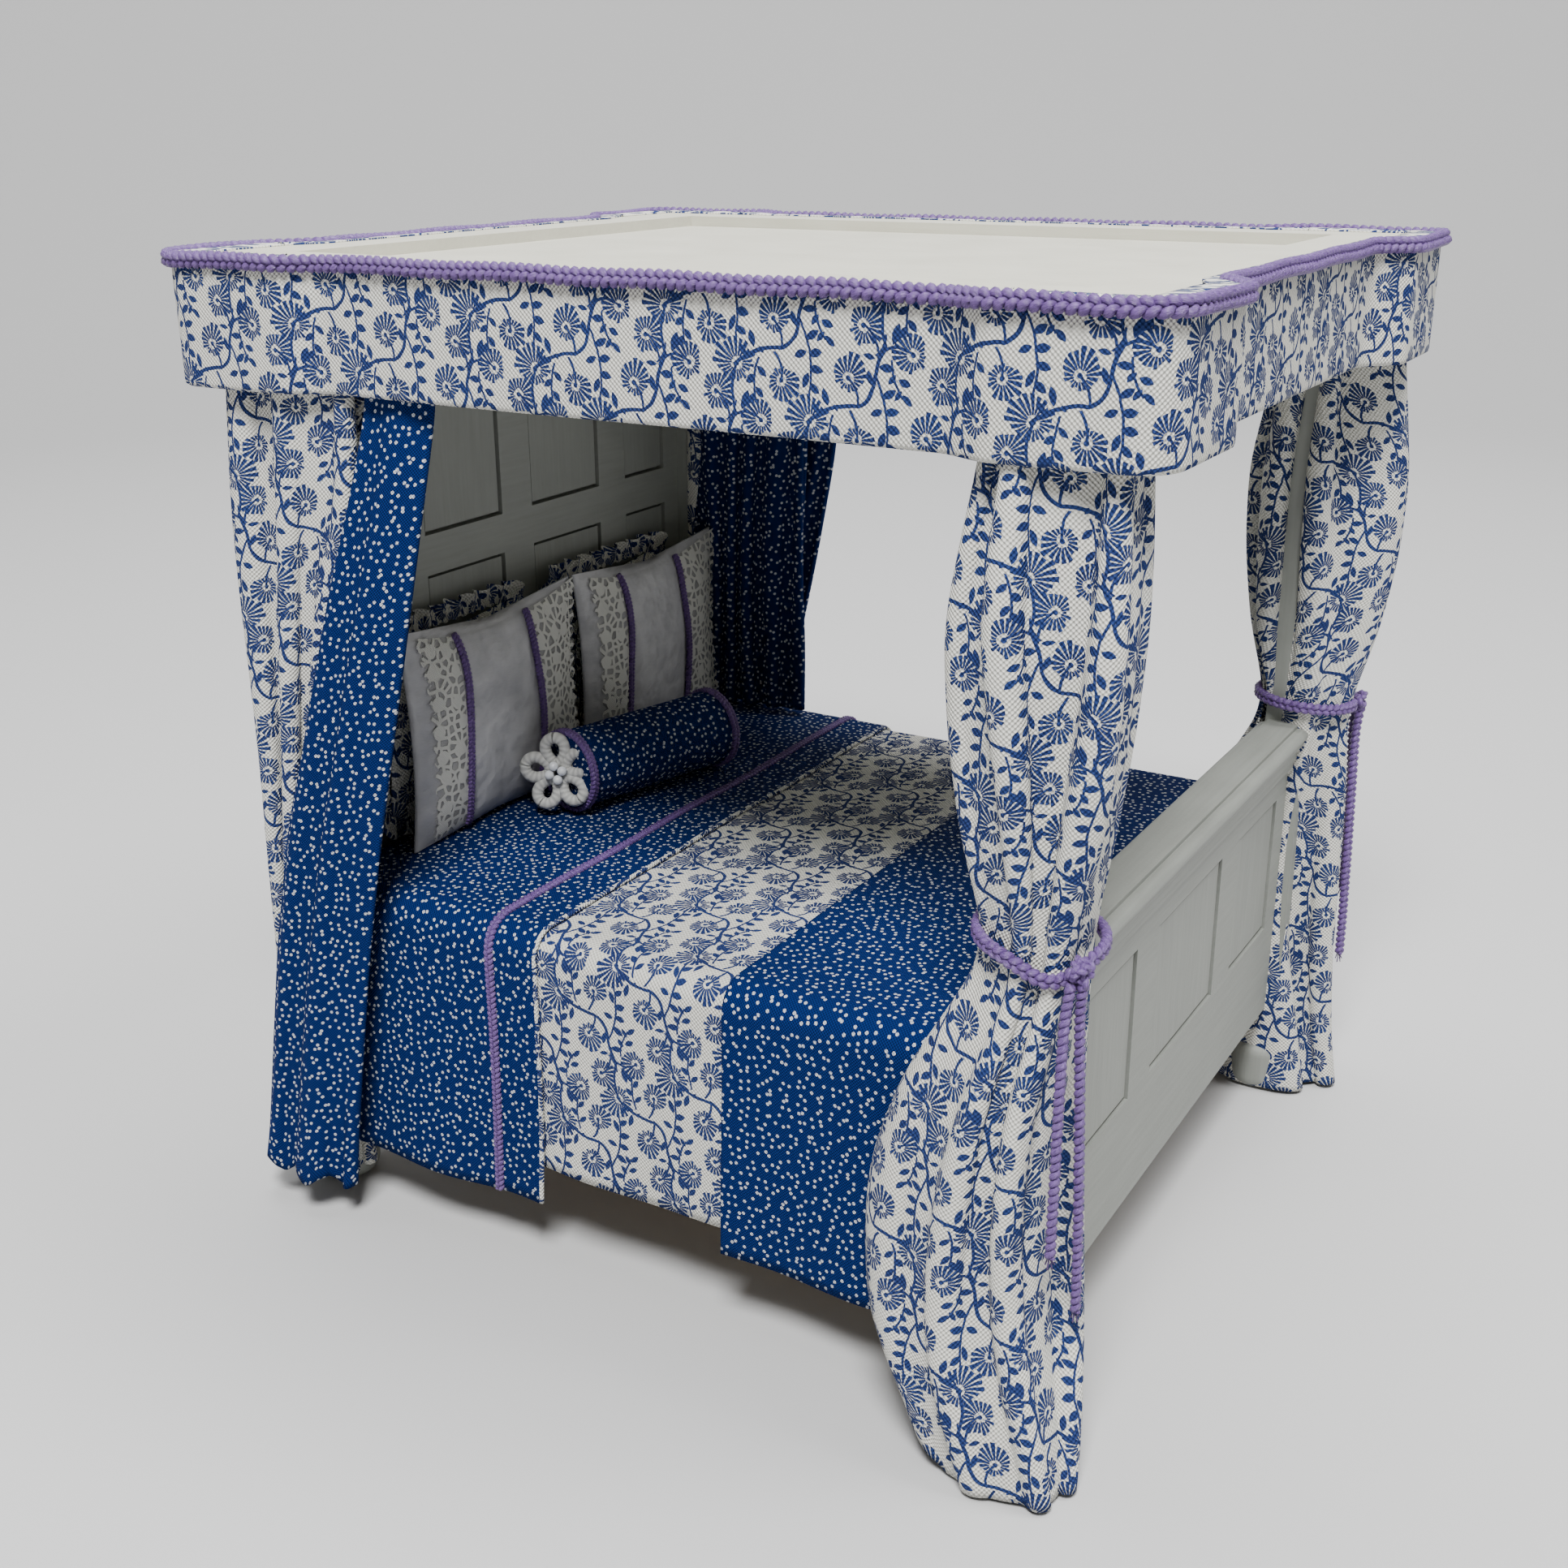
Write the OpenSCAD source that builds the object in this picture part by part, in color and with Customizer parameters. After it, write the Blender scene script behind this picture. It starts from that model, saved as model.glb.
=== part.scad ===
// Miniature four poster bed at one twelfth scale.
// Millimetres. Z is up, the head end is at +Y and the floor is Z = 0.
// "left" is the -X side, as seen from the foot end.

/* [Bed frame] */
// Distance across the bed between post centres
bed_w = 144; // [138:1:146]
// Distance along the bed between post centres
bed_l = 167; // [164:1:168]
// Height of the tester rim above the floor
frame_h = 201; // [194:1:212]
// Side of a square post
post_size = 9; // [8:0.5:9.5]
// Diameter of a bun foot
foot_d = 15; // [12:0.5:16]
// Height of a bun foot
foot_h = 12; // [10:0.5:14]
// Height of the underside of the rails and end boards
rail_z = 22; // [20:1:26]
// Height of the underside of the footboard cap
cap_z = 84; // [80:1:88]

/* [Tester] */
// Width of the tester over the valance
tester_w = 171; // [169:1:175]
// Length of the tester over the valance
tester_l = 200; // [198:1:204]
// Drop of the valance
valance_drop = 24; // [20:1:28]
// Side of a corner ear
ear_l = 32; // [30:1:36]
// How far an ear stands out from a long side
ear_side = 4; // [3:0.5:5]
// How far an ear stands out from an end
ear_end = 7; // [5:0.5:8]
// Width of the rim around the recessed panel
rim_w = 13; // [10:1:16]
// Depth of the recess above the panel
recess_d = 2.4; // [1.5:0.1:3]

/* [Bedding] */
// Height of the top of the made bed
bed_top = 73; // [71:0.5:74]
// Width of the made bed over the bedspread
made_w = 152; // [150:0.5:153]
// Thickness of one layer of cotton
cloth_t = 0.6; // [0.4:0.1:0.8]
// Width of a front pillow
pillow_w = 60; // [54:1:60]
// Height of a front pillow
pillow_h = 49; // [44:1:50]
// Diameter of the bolster
bolster_d = 18; // [16:0.5:19]
// Length of the bolster
bolster_l = 46; // [42:1:50]

/* [Hidden] */

round_fn = 48;
paint = [0.57, 0.58, 0.55];
cream = [0.86, 0.86, 0.80];
floral = [0.75, 0.78, 0.85];
navy = [0.07, 0.20, 0.48];
lilac = [0.62, 0.50, 0.78];
satin = [0.93, 0.93, 0.93];

// Places of the posts
post_x = bed_w / 2;
foot_y = -tester_l / 2 + 20;
head_y = foot_y + bed_l;
post_half = post_size / 2;
rim_t = 6;
post_top = frame_h - rim_t;
valance_z = frame_h - valance_drop;
clear = 0.3;

// Inner faces between the posts
in_x = post_x - post_half;
in_foot = foot_y + post_half;
in_head = head_y - post_half;

// Dowels that hold the tester on the posts
dowel_d = 4;
dowel_up = 3;
dowel_down = 6;

// End boards: a thin back, and a frame and raised panels in front
back_t = 2.4;
front_t = 2.2;
panel_t = 1.7;
groove = 0.8;
footboard_y = foot_y - 2;
headboard_y = in_head + 5;
headboard_top = post_top - 14;

// Rails, base and mattress
rail_t = 4;
rail_h = 24;
base_t = 3;
base_z = rail_z + rail_h - base_t - 6;
mattress_z = base_z + base_t;

// Bedding along the bed
spread_foot = in_foot + 9;
runner_foot = spread_foot + 0.5;
runner_head = -18.5;
fold_y = 25.5;
braid_y = 36.5;
turndown_head = in_head - 1;
mattress_r = 5;
spread_hem = 21;
runner_hem = 16;
turndown_hem = 13;

// Waist of a foot curtain and its tie
waist_z = 96;
waist_r = 9.6;
waist_x = -post_x - 3;
waist_y = foot_y + 0.2;
far_step = [0, 0, -2.5, 0, 0];
tie_d = 1.8;
tail_d = 2;

// Pillows and bolster
seat_gap = 0.3;
pillow_t = 7.6;
pillow_x = pillow_w / 2 + 0.75;
pillow_y = in_head - 9.4;
pillow_shift = 3.8;
pillow_lean = 1;
back_pillow_w = 56;
back_pillow_h = 52;
back_pillow_t = 6;
bolster_turn = -15;
bolster_x = 2.5;
bolster_y = pillow_y - 19.4;

// ---- helpers ----

// Rectangle with its corners rounded to radius r, about the origin
module rounded_rect(w, l, r) {
    square([w - 2 * r, l], center = true);
    square([w, l - 2 * r], center = true);
    for (sx = [-1, 1], sy = [-1, 1])
        translate([sx * (w / 2 - r), sy * (l / 2 - r)])
            circle(r = r, $fn = round_fn);
}

// Plan of the tester with its four ears, drawn in by the distance "by"
module tester_plan(by) {
    ear_r = 7;
    square([tester_w - 2 * ear_side - 2 * by, tester_l - 2 * ear_end - 2 * by], center = true);
    for (sx = [-1, 1], sy = [-1, 1])
        translate([sx * (tester_w - ear_l) / 2, sy * (tester_l - ear_l) / 2])
            rounded_rect(ear_l - 2 * by, ear_l - 2 * by, ear_r - by);
}

// Band that follows the tester plan between two distances in from its edge
module tester_ring(outer_in, inner_in, z_low, z_high) {
    translate([0, 0, z_low])
        linear_extrude(height = z_high - z_low)
            difference() {
                tester_plan(outer_in);
                tester_plan(inner_in);
            }
}

// Box given by its lowest and highest corners
module block(low, high) {
    translate(low)
        cube(high - low);
}

// Points of an ellipse of n sides in a row of a loft: row = [z, cx, cy, rx, ry]
function loft_ring(row, n) = [for (i = [0 : n - 1])
    let (a = 360 * i / n)
    [row[1] + row[3] * cos(a), row[2] + row[4] * sin(a), row[0]]];

// Closed solid through a list of elliptical rows, from the lowest to the highest
module loft(rows, n = 24) {
    count = len(rows);
    points = [for (row = rows) each loft_ring(row, n)];
    sides = [for (k = [0 : count - 2], i = [0 : n - 1])
        let (j = (i + 1) % n, low = k * n, high = (k + 1) * n)
        each [[low + i, high + i, high + j], [low + i, high + j, low + j]]];
    floor_face = [for (i = [0 : n - 1]) i];
    top_face = [for (i = [n - 1 : -1 : 0]) (count - 1) * n + i];
    polyhedron(points, concat(sides, [floor_face, top_face]), convexity = 4);
}

// Unit vector, and the directions across a path at each of its points
function unit(v) = v / norm(v);
function along(path, i) = unit(path[min(i + 1, len(path) - 1)] - path[max(i - 1, 0)]);
function across(t) = unit(cross(t, [0, 1, 0]));

// Round tube of diameter d swept along the points of a path that runs mostly up or down
module swept_cord(path, d, n = 8) {
    count = len(path);
    points = [for (k = [0 : count - 1])
        let (t = along(path, k), u = across(t), v = cross(t, u))
        each [for (i = [0 : n - 1])
            path[k] + d / 2 * (cos(360 * i / n) * u + sin(360 * i / n) * v)]];
    sides = [for (k = [0 : count - 2], i = [0 : n - 1])
        let (j = (i + 1) % n, low = k * n, high = (k + 1) * n)
        each [[low + i, high + i, high + j], [low + i, high + j, low + j]]];
    start_face = [for (i = [0 : n - 1]) i];
    end_face = [for (i = [n - 1 : -1 : 0]) (count - 1) * n + i];
    polyhedron(points, concat(sides, [start_face, end_face]), convexity = 4);
}

// Sheet that lies over the mattress and hangs down both sides, from y_low to y_high.
// "lift" is its height above the bedspread, and "hem" the height of its lower edges.
module draped_sheet(y_low, y_high, lift, hem, t) {
    half = made_w / 2 + lift;
    top = bed_top + lift;
    inner_r = mattress_r - t;
    translate([0, y_high, 0])
        rotate([90, 0, 0])
            linear_extrude(height = y_high - y_low)
                difference() {
                    drape_profile(half, hem, top, mattress_r);
                    drape_profile(half - t, hem - 1, top - t, inner_r);
                }
}

// Outline across the bed with its two top corners rounded to radius r
module drape_profile(half, low, high, r) {
    translate([-half, low])
        square([2 * half, high - r - low]);
    translate([-half + r, low])
        square([2 * (half - r), high - low]);
    for (s = [-1, 1])
        translate([s * (half - r), high - r])
            circle(r = r, $fn = round_fn);
}

// ---- bed frame ----

// Square post on a bun foot, with a hole for the dowel in its top
module post(x, y) {
    color(paint)
    translate([x, y, 0])
        difference() {
            union() {
                translate([-post_half, -post_half, foot_h - 1])
                    cube([post_size, post_size, post_top - foot_h + 1]);
                bun_foot();
            }
            translate([0, 0, post_top - dowel_down])
                cylinder(d = dowel_d, h = dowel_down + 1, $fn = 32);
        }
}

// Bun foot with a flat sole and a rounded side
module bun_foot() {
    r = foot_d / 2;
    edge = 3;
    rotate_extrude($fn = round_fn) {
        square([r - edge, foot_h]);
        translate([0, edge])
            square([r, foot_h - 2 * edge]);
        for (z = [edge, foot_h - edge])
            translate([r - edge, z])
                circle(r = edge, $fn = 32);
    }
}

module post_head_left() { post(-post_x, head_y); }
module post_head_right() { post(post_x, head_y); }
module post_foot_left() { post(-post_x, foot_y); }
module post_foot_right() { post(post_x, foot_y); }

// Four dowels between the post tops and the tester
module tester_dowels() {
    color("burlywood")
    for (x = [-post_x, post_x], y = [foot_y, head_y])
        translate([x, y, post_top - dowel_down])
            cylinder(d = dowel_d, h = dowel_down + dowel_up, $fn = 32);
}

// Panel rectangles of an end board as [x low, x high, z low, z high]
headboard_cells = [for (x = [[-61, -43.5], [-32.5, -5.5], [5.5, 32.5], [43.5, 61]],
    z = [[92, 129.5], [138.5, headboard_top - 9]])
    [x[0], x[1], z[0], z[1]]];
footboard_cells = [for (x = [[-59, -31.5], [-19.5, 19.5], [31.5, 59]])
    [x[0], x[1], 46, cap_z - 6]];

// Front layer of an end board, with an opening for each panel
module board_frame(y_low, y_high, z_low, z_high, cells) {
    difference() {
        block([-in_x, y_low, z_low], [in_x, y_high, z_high]);
        for (c = cells)
            block([c[0], y_low - 1, c[2]], [c[1], y_high + 1, c[3]]);
    }
}

// Panels that stand in the openings with a narrow groove all round
module board_panels(y_low, y_high, cells) {
    for (c = cells)
        block([c[0] + groove, y_low, c[2] + groove], [c[1] - groove, y_high, c[3] - groove]);
}

module headboard_back() {
    color(paint)
    block([-in_x, headboard_y, rail_z], [in_x, headboard_y + back_t, headboard_top]);
}

module headboard_frame() {
    color(paint)
    board_frame(headboard_y - front_t, headboard_y, rail_z, headboard_top, headboard_cells);
}

module headboard_panels() {
    color(paint)
    board_panels(headboard_y - panel_t, headboard_y, headboard_cells);
}

module footboard_back() {
    color(paint)
    block([-in_x, footboard_y + front_t, rail_z], [in_x, footboard_y + front_t + back_t, cap_z]);
}

module footboard_frame() {
    color(paint)
    board_frame(footboard_y, footboard_y + front_t, rail_z, cap_z, footboard_cells);
}

module footboard_panels() {
    color(paint)
    board_panels(footboard_y + front_t - panel_t, footboard_y + front_t, footboard_cells);
}

// Moulded cap rail: a bed mould below, a cove, and a nosing with a rounded edge on top
module footboard_cap() {
    mid = footboard_y + (front_t + back_t) / 2;
    color(paint)
    translate([-in_x, mid, cap_z])
        rotate([90, 0, 90])
            linear_extrude(height = 2 * in_x)
                cap_profile();
}

// Section of the cap about the middle of the board, from its underside up
module cap_profile() {
    nose_r = 1.6;
    translate([-3.4, 0])
        square([6.8, 2.2]);
    translate([-4, 2.2])
        square([8, 1.6]);
    difference() {
        translate([-5.2, 3.8])
            square([10.4, 2.4]);
        for (s = [-1, 1])
            translate([s * 6, 3.8])
                circle(r = 1.9, $fn = 32);
    }
    translate([-6 + nose_r, 6.2])
        square([12 - 2 * nose_r, 2 * nose_r]);
    for (s = [-1, 1])
        translate([s * (6 - nose_r), 6.2 + nose_r])
            circle(r = nose_r, $fn = 32);
    translate([-3.6, 6.2 + 2 * nose_r])
        square([7.2, 0.8]);
}

// Side rail between two posts, with a ledge inside it for the base
module side_rail(side) {
    color(paint)
    union() {
        block([side * post_x - rail_t / 2, in_foot, rail_z],
            [side * post_x + rail_t / 2, in_head, rail_z + rail_h]);
        block([side * (post_x - rail_t / 2 - 2) - 2, in_foot + 4, base_z - 4],
            [side * (post_x - rail_t / 2 - 2) + 2, in_head - 4, base_z]);
    }
}

module side_rail_left() { side_rail(-1); }
module side_rail_right() { side_rail(1); }

// Ply base on the ledges
module bed_base() {
    half = post_x - rail_t / 2 - 0.2;
    color("burlywood")
    block([-half, in_foot + 1, base_z], [half, in_head - 1, base_z + base_t]);
}

// Firm mattress with rounded top edges
module mattress() {
    half = made_w / 2 - cloth_t - 0.2;
    top = bed_top - cloth_t - 0.1;
    inner = post_x - rail_t / 2 - 0.4;
    color(satin)
    union() {
        block([-inner, spread_foot, mattress_z], [inner, in_head - 0.6, rail_z + rail_h + 0.4]);
        block([-in_x + 0.4, in_head - 1, mattress_z], [in_x - 0.4, headboard_y - front_t - 0.4, top]);
        translate([0, in_head - 0.6, 0])
            rotate([90, 0, 0])
                linear_extrude(height = in_head - 0.6 - spread_foot)
                    drape_profile(half, rail_z + rail_h + 0.4, top, mattress_r - cloth_t);
    }
}

// ---- tester ----

// Rim of the tester with its ears, the recess and the dowel holes
module tester_frame() {
    open_w = tester_w - 2 * (ear_side + rim_w);
    open_l = tester_l - 2 * (ear_end + rim_w);
    color(cream)
    difference() {
        translate([0, 0, post_top])
            linear_extrude(height = rim_t)
                tester_plan(cloth_t);
        translate([-open_w / 2, -open_l / 2, post_top - 1])
            cube([open_w, open_l, rim_t + 2]);
        for (x = [-post_x, post_x], y = [foot_y, head_y])
            translate([x, y, post_top - 1])
                cylinder(d = dowel_d, h = dowel_up + 1, $fn = 32);
    }
}

// Flat panel set down inside the rim
module tester_panel() {
    open_w = tester_w - 2 * (ear_side + rim_w);
    open_l = tester_l - 2 * (ear_end + rim_w);
    color(cream)
    block([-open_w / 2, -open_l / 2, post_top], [open_w / 2, open_l / 2, frame_h - recess_d]);
}

// One side of the stiff board behind the valance; "turn" picks the side
module pelmet(turn, half_across, half_along) {
    board_t = 1.4;
    reach = 2 * tester_l;
    color(cream)
    intersection() {
        tester_ring(cloth_t, cloth_t + board_t, valance_z + 0.6, post_top);
        translate([0, 0, valance_z])
            linear_extrude(height = valance_drop)
                rotate(turn)
                    polygon([[0, 0], [reach, reach * half_along / half_across],
                        [reach, -reach * half_along / half_across]]);
    }
}

module pelmet_right() { pelmet(0, tester_w, tester_l); }
module pelmet_left() { pelmet(180, tester_w, tester_l); }
module pelmet_head() { pelmet(90, tester_l, tester_w); }
module pelmet_foot() { pelmet(-90, tester_l, tester_w); }

// Band of printed cotton glued round the tester
module valance() {
    color(floral)
    tester_ring(0, cloth_t, valance_z, frame_h - 0.4);
}

// Braid round the top edge of the valance
module valance_braid() {
    color(lilac)
    tester_ring(-1, 0, frame_h - 2.4, frame_h);
}

// ---- bedding ----

module bedspread() {
    color(floral)
    draped_sheet(spread_foot, fold_y + 12, 0, spread_hem, cloth_t);
}

// Dotted runner over the foot of the bedspread
module runner() {
    color(navy)
    draped_sheet(runner_foot, runner_head, cloth_t + 0.1, runner_hem, cloth_t);
}

// Dotted turn-down over the head end of the bedspread
module turndown() {
    color(navy)
    draped_sheet(fold_y, turndown_head, cloth_t + 0.1, turndown_hem, cloth_t);
}

// Braid sewn across the turn-down and down both its sides
module turndown_braid() {
    color(lilac)
    draped_sheet(braid_y - 0.8, braid_y + 0.8, 2 * cloth_t + 0.9, turndown_hem, 0.8);
}

// ---- curtains ----

// Space taken by the posts, the boards, the rails and the bedding, with clearance
module bed_space() {
    gap = clear;
    for (x = [-post_x, post_x], y = [foot_y, head_y]) {
        block([x - post_half - gap, y - post_half - gap, -1],
            [x + post_half + gap, y + post_half + gap, frame_h]);
        translate([x, y, -1])
            cylinder(d = foot_d + 2 * gap, h = foot_h + 1 + gap, $fn = round_fn);
    }
    block([-in_x - 1, footboard_y - 4 - gap, rail_z - gap],
        [in_x + 1, footboard_y + 9 + gap, cap_z + 10.2 + gap]);
    block([-in_x - 1, headboard_y - front_t - gap, rail_z - gap],
        [in_x + 1, headboard_y + back_t + gap, headboard_top + gap]);
    block([-post_x - rail_t / 2 - gap, in_foot - 1, rail_z - gap],
        [post_x + rail_t / 2 + gap, in_head + 1, rail_z + rail_h + 0.6]);
    half = made_w / 2 + 2 * cloth_t + 1.1 + gap;
    block([-half, spread_foot - gap, turndown_hem - gap], [half, turndown_head + gap, bed_top + 3]);
    block([-made_w / 2, spread_foot - gap, rail_z + rail_h], [made_w / 2, in_head + gap, bed_top + 1]);
    block([-in_x - 1, in_head - 1, rail_z - gap], [in_x + 1, headboard_y + gap, bed_top + 1]);
}

// Foot curtain as rows [z, cx, cy, rx, ry], gathered round the post and tied at the waist
foot_rows = [
    [1, -81.5, -72.2, 15.5, 20.5],
    [12, -81, -71.8, 14.5, 19.4],
    [33, -80.2, -71.6, 13.6, 18],
    [49, -79.6, -71.8, 13, 17.2],
    [68, -78.6, -73.4, 12, 15.4],
    [84, -76.8, -76.6, 10.8, 12.2],
    [93, waist_x, waist_y, waist_r, waist_r],
    [99, waist_x, waist_y, waist_r, waist_r],
    [112, -75.6, -79.4, 10, 12.6],
    [132, -76.3, -79.2, 10.6, 15.2],
    [152, -76.5, -79, 10.6, 16.2],
    [168, -75.6, -79.6, 9.4, 14.6],
    [176, -74.9, -80, 8.4, 13.4],
    [194.5, -74.6, -80, 8.2, 12.4]];

// Outer head curtain, gathered round the head post
head_rows = [
    [5, -73, 86, 8.5, 9],
    [60, -72.5, 86, 6, 8.5],
    [94, -72.5, 83, 6, 10],
    [118, -73.2, 80.5, 4.6, 12],
    [138, -73.6, 78.5, 4.4, 14.5],
    [154, -73.8, 77, 4.4, 16],
    [174, -74, 75.5, 4.4, 15.5],
    [194.5, -74, 76, 4.2, 14.5]];

// Inner head curtain, hung forward at the top and swept back to the post at the bottom
inner_rows = [
    [9, -85.9, 84, 4.4, 13.5],
    [24, -84.8, 82, 4, 13.2],
    [60, -83.8, 76.5, 3.6, 13],
    [88, -83.4, 70.5, 3.4, 12.6],
    [113, -82.8, 63.5, 3.2, 11.4],
    [141, -81.6, 56, 2.8, 10],
    [160, -79.6, 51.5, 2.4, 8.4],
    [176, -76.6, 49.2, 2.4, 7.8],
    [194.5, -76, 49, 2.6, 7.8]];

// Lining of the left head curtain, swept back to the headboard with it
swept_rows = [
    [76, -68.6, 78, 2, 4],
    [94, -68.5, 75.8, 1.9, 6.2],
    [113, -68.4, 73.5, 1.8, 8.5],
    [141, -68.3, 69.8, 1.7, 12.2],
    [160, -68.2, 67.8, 1.6, 14.2],
    [176, -68.2, 66, 1.6, 16],
    [194.5, -68.4, 65.2, 1.8, 16.8]];

// Lining of the right head curtain, which hangs straight
lining_rows = [
    [76, -68.6, 64.6, 2, 16.4],
    [110, -68.4, 64.4, 1.8, 16.8],
    [150, -68.2, 64, 1.6, 17.2],
    [176, -68.2, 63, 1.6, 17.6],
    [194.5, -68.4, 63, 1.8, 17]];

// A curtain on the left side, cut clear of the bed, or its mirror on the right
module curtain(rows, side) {
    difference() {
        mirror([side > 0 ? 1 : 0, 0, 0])
            loft(rows);
        bed_space();
    }
}

module curtain_foot_left() { color(floral) curtain(foot_rows, -1); }
module curtain_foot_right() { color(floral) curtain([for (r = foot_rows) r + far_step], 1); }
// Space between the head curtains, kept for their lining
module lining_space() {
    block([-70.9, 40, 75], [70.9, 96, 196]);
}

module curtain_head_left() {
    color(floral)
    difference() {
        curtain(head_rows, -1);
        lining_space();
    }
}

module curtain_head_right() { mirror([1, 0, 0]) curtain_head_left(); }
module inner_curtain_left() { color(navy) loft(inner_rows); }
module inner_curtain_right() { color(navy) mirror([1, 0, 0]) loft(inner_rows); }
module lining_left() { color(navy) loft(swept_rows); }
module lining_right() { color(navy) mirror([1, 0, 0]) loft(lining_rows); }

// Braid loop round the waist of a foot curtain, as a ring of thickness d
module waist_ring(d) {
    translate([waist_x, waist_y, waist_z])
        rotate_extrude($fn = round_fn)
            translate([waist_r + tie_d / 2 + 0.1, 0])
                circle(d = d, $fn = 16);
}

// Carries a piece of the left foot curtain's tie over to the right one
module on_right() {
    translate([0, far_step[2], 0])
        mirror([1, 0, 0])
            children();
}

module tieback_left() { color(lilac) waist_ring(tie_d); }
module tieback_right() { on_right() tieback_left(); }

// Knot on the outer corner of the loop
knot_at = [-83.5, -90.2, 98];
knot_d = 3.4;

module tie_knot_left() {
    color(lilac)
    translate(knot_at)
        sphere(d = knot_d, $fn = 32);
}

module tie_knot_right() { on_right() tie_knot_left(); }

// Routes of the two tails that hang from the knot, from the top down
long_tail = [
    [-83.2, -90.6, 95.4], [-82.8, -90.2, 90], [-82.6, -90.4, 85], [-82.5, -90.6, 80],
    [-82.4, -90.8, 75], [-82.3, -91, 70], [-82.2, -91.2, 65], [-82.2, -91.4, 60],
    [-82.1, -91.6, 55], [-82.1, -91.8, 50], [-82.1, -92, 45], [-82.1, -92.2, 39],
    [-82.1, -92.3, 33]];
short_tail = [
    [-84.9, -89.2, 95.4], [-85.5, -88.7, 90], [-86.2, -88.8, 85], [-86.9, -89, 80],
    [-87.4, -89.2, 75], [-87.8, -89.3, 70], [-88.1, -89.5, 65], [-88.4, -89.6, 60],
    [-88.7, -89.7, 54], [-89, -89.8, 47]];

module tie_tail_left_long() { color(lilac) swept_cord(long_tail, tail_d); }
module tie_tail_left_short() { color(lilac) swept_cord(short_tail, tail_d); }
module tie_tail_right_long() { on_right() tie_tail_left_long(); }
module tie_tail_right_short() { on_right() tie_tail_left_short(); }

// ---- pillows and bolster ----

// Crowned cushion standing on its lower edge, facing -Y, grown outwards by "grow"
module cushion(w, h, t, grow) {
    edge = 1;
    rows = 10;
    loft([for (k = [0 : rows])
        let (u = k / rows, crown = sqrt(max(0, 1 - pow(2 * u - 1, 2))))
        [u * (h + 2 * grow) - grow, 0, 0, w / 2 + grow, edge + (t / 2 - edge) * crown + grow]]);
}

// Places a piece of a front pillow where that pillow leans
module at_front_pillow(side) {
    translate([side * pillow_x + pillow_shift, pillow_y, bed_top + 2 * cloth_t + seat_gap])
        rotate([-pillow_lean, 0, 0])
            children();
}

module pillow_back(side) {
    color(floral)
    translate([side * (back_pillow_w / 2 + 2), headboard_y - front_t - back_pillow_t / 2 - 0.3,
        bed_top + 2 * cloth_t + seat_gap])
        cushion(back_pillow_w, back_pillow_h, back_pillow_t, 0);
}

module pillow_front(side) {
    color(satin)
    at_front_pillow(side)
        cushion(pillow_w, pillow_h, pillow_t, 0);
}

// Bands round a front pillow between distances out from its middle
module pillow_bands(side, spans, grow) {
    at_front_pillow(side)
        difference() {
            intersection() {
                cushion(pillow_w, pillow_h, pillow_t, grow);
                for (s = spans)
                    block([s[0], -20, 0.3], [s[1], 0, pillow_h + 5]);
            }
            cushion(pillow_w, pillow_h, pillow_t, 0.02);
        }
}

lace_spans = [[-28.5, -14.5], [14.5, 28.5]];
braid_spans = [[-13.9, -12.1], [12.1, 13.9]];

module pillow_back_left() { pillow_back(-1); }
module pillow_back_right() { pillow_back(1); }
module pillow_front_left() { pillow_front(-1); }
module pillow_front_right() { pillow_front(1); }
module pillow_lace_left() { color(satin) pillow_bands(-1, lace_spans, 0.4); }
module pillow_lace_right() { color(satin) pillow_bands(1, lace_spans, 0.4); }
module pillow_braid_left() { color(lilac) pillow_bands(-1, braid_spans, 1); }
module pillow_braid_right() { color(lilac) pillow_bands(1, braid_spans, 1); }

// Places a piece in the frame of the bolster: its axis along X, its middle at the origin
module at_bolster() {
    translate([bolster_x, bolster_y, bed_top + 2 * cloth_t + seat_gap + bolster_d / 2 + 0.8])
        rotate([0, 0, bolster_turn])
            children();
}

module bolster() {
    edge = 2;
    color(navy)
    at_bolster()
        rotate([0, -90, 0])
            translate([0, 0, -bolster_l / 2])
                rotate_extrude($fn = round_fn) {
                    square([bolster_d / 2 - edge, bolster_l]);
                    translate([0, edge])
                        square([bolster_d / 2, bolster_l - 2 * edge]);
                    for (z = [edge, bolster_l - edge])
                        translate([bolster_d / 2 - edge, z])
                            circle(r = edge, $fn = 32);
                }
}

// Braid round each end of the bolster
module bolster_braid() {
    color(lilac)
    at_bolster()
        for (s = [-1, 1])
            translate([s * (bolster_l / 2 - 3), 0, 0])
                rotate([0, 90, 0])
                    rotate_extrude($fn = round_fn)
                        translate([bolster_d / 2, -0.7])
                            square([0.7, 1.4]);
}

petal_count = 5;
petal_r = 3;
petal_d = 1.5;

// Five looped petals on the near end of the bolster
module bolster_flower() {
    color(satin)
    at_bolster()
        translate([-bolster_l / 2 - petal_d / 2, 0, 0])
            rotate([0, 90, 0])
                for (i = [0 : petal_count - 1])
                    rotate(360 * i / petal_count)
                        translate([petal_r + 1.6, 0, 0])
                            rotate_extrude($fn = 32)
                                translate([petal_r - petal_d / 2, 0])
                                    circle(d = petal_d, $fn = 16);
}

// Beads in the middle of the flower
module bolster_beads() {
    bead_d = 3;
    color("gainsboro")
    at_bolster()
        translate([-bolster_l / 2 - petal_d - bead_d / 2 - 0.05, 0, 0])
            rotate([0, 90, 0]) {
                for (i = [0 : 3])
                    rotate(90 * i + 20)
                        translate([2.15, 0, 0])
                            sphere(d = bead_d, $fn = 24);
            }
}

// ---- the model ----

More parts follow.
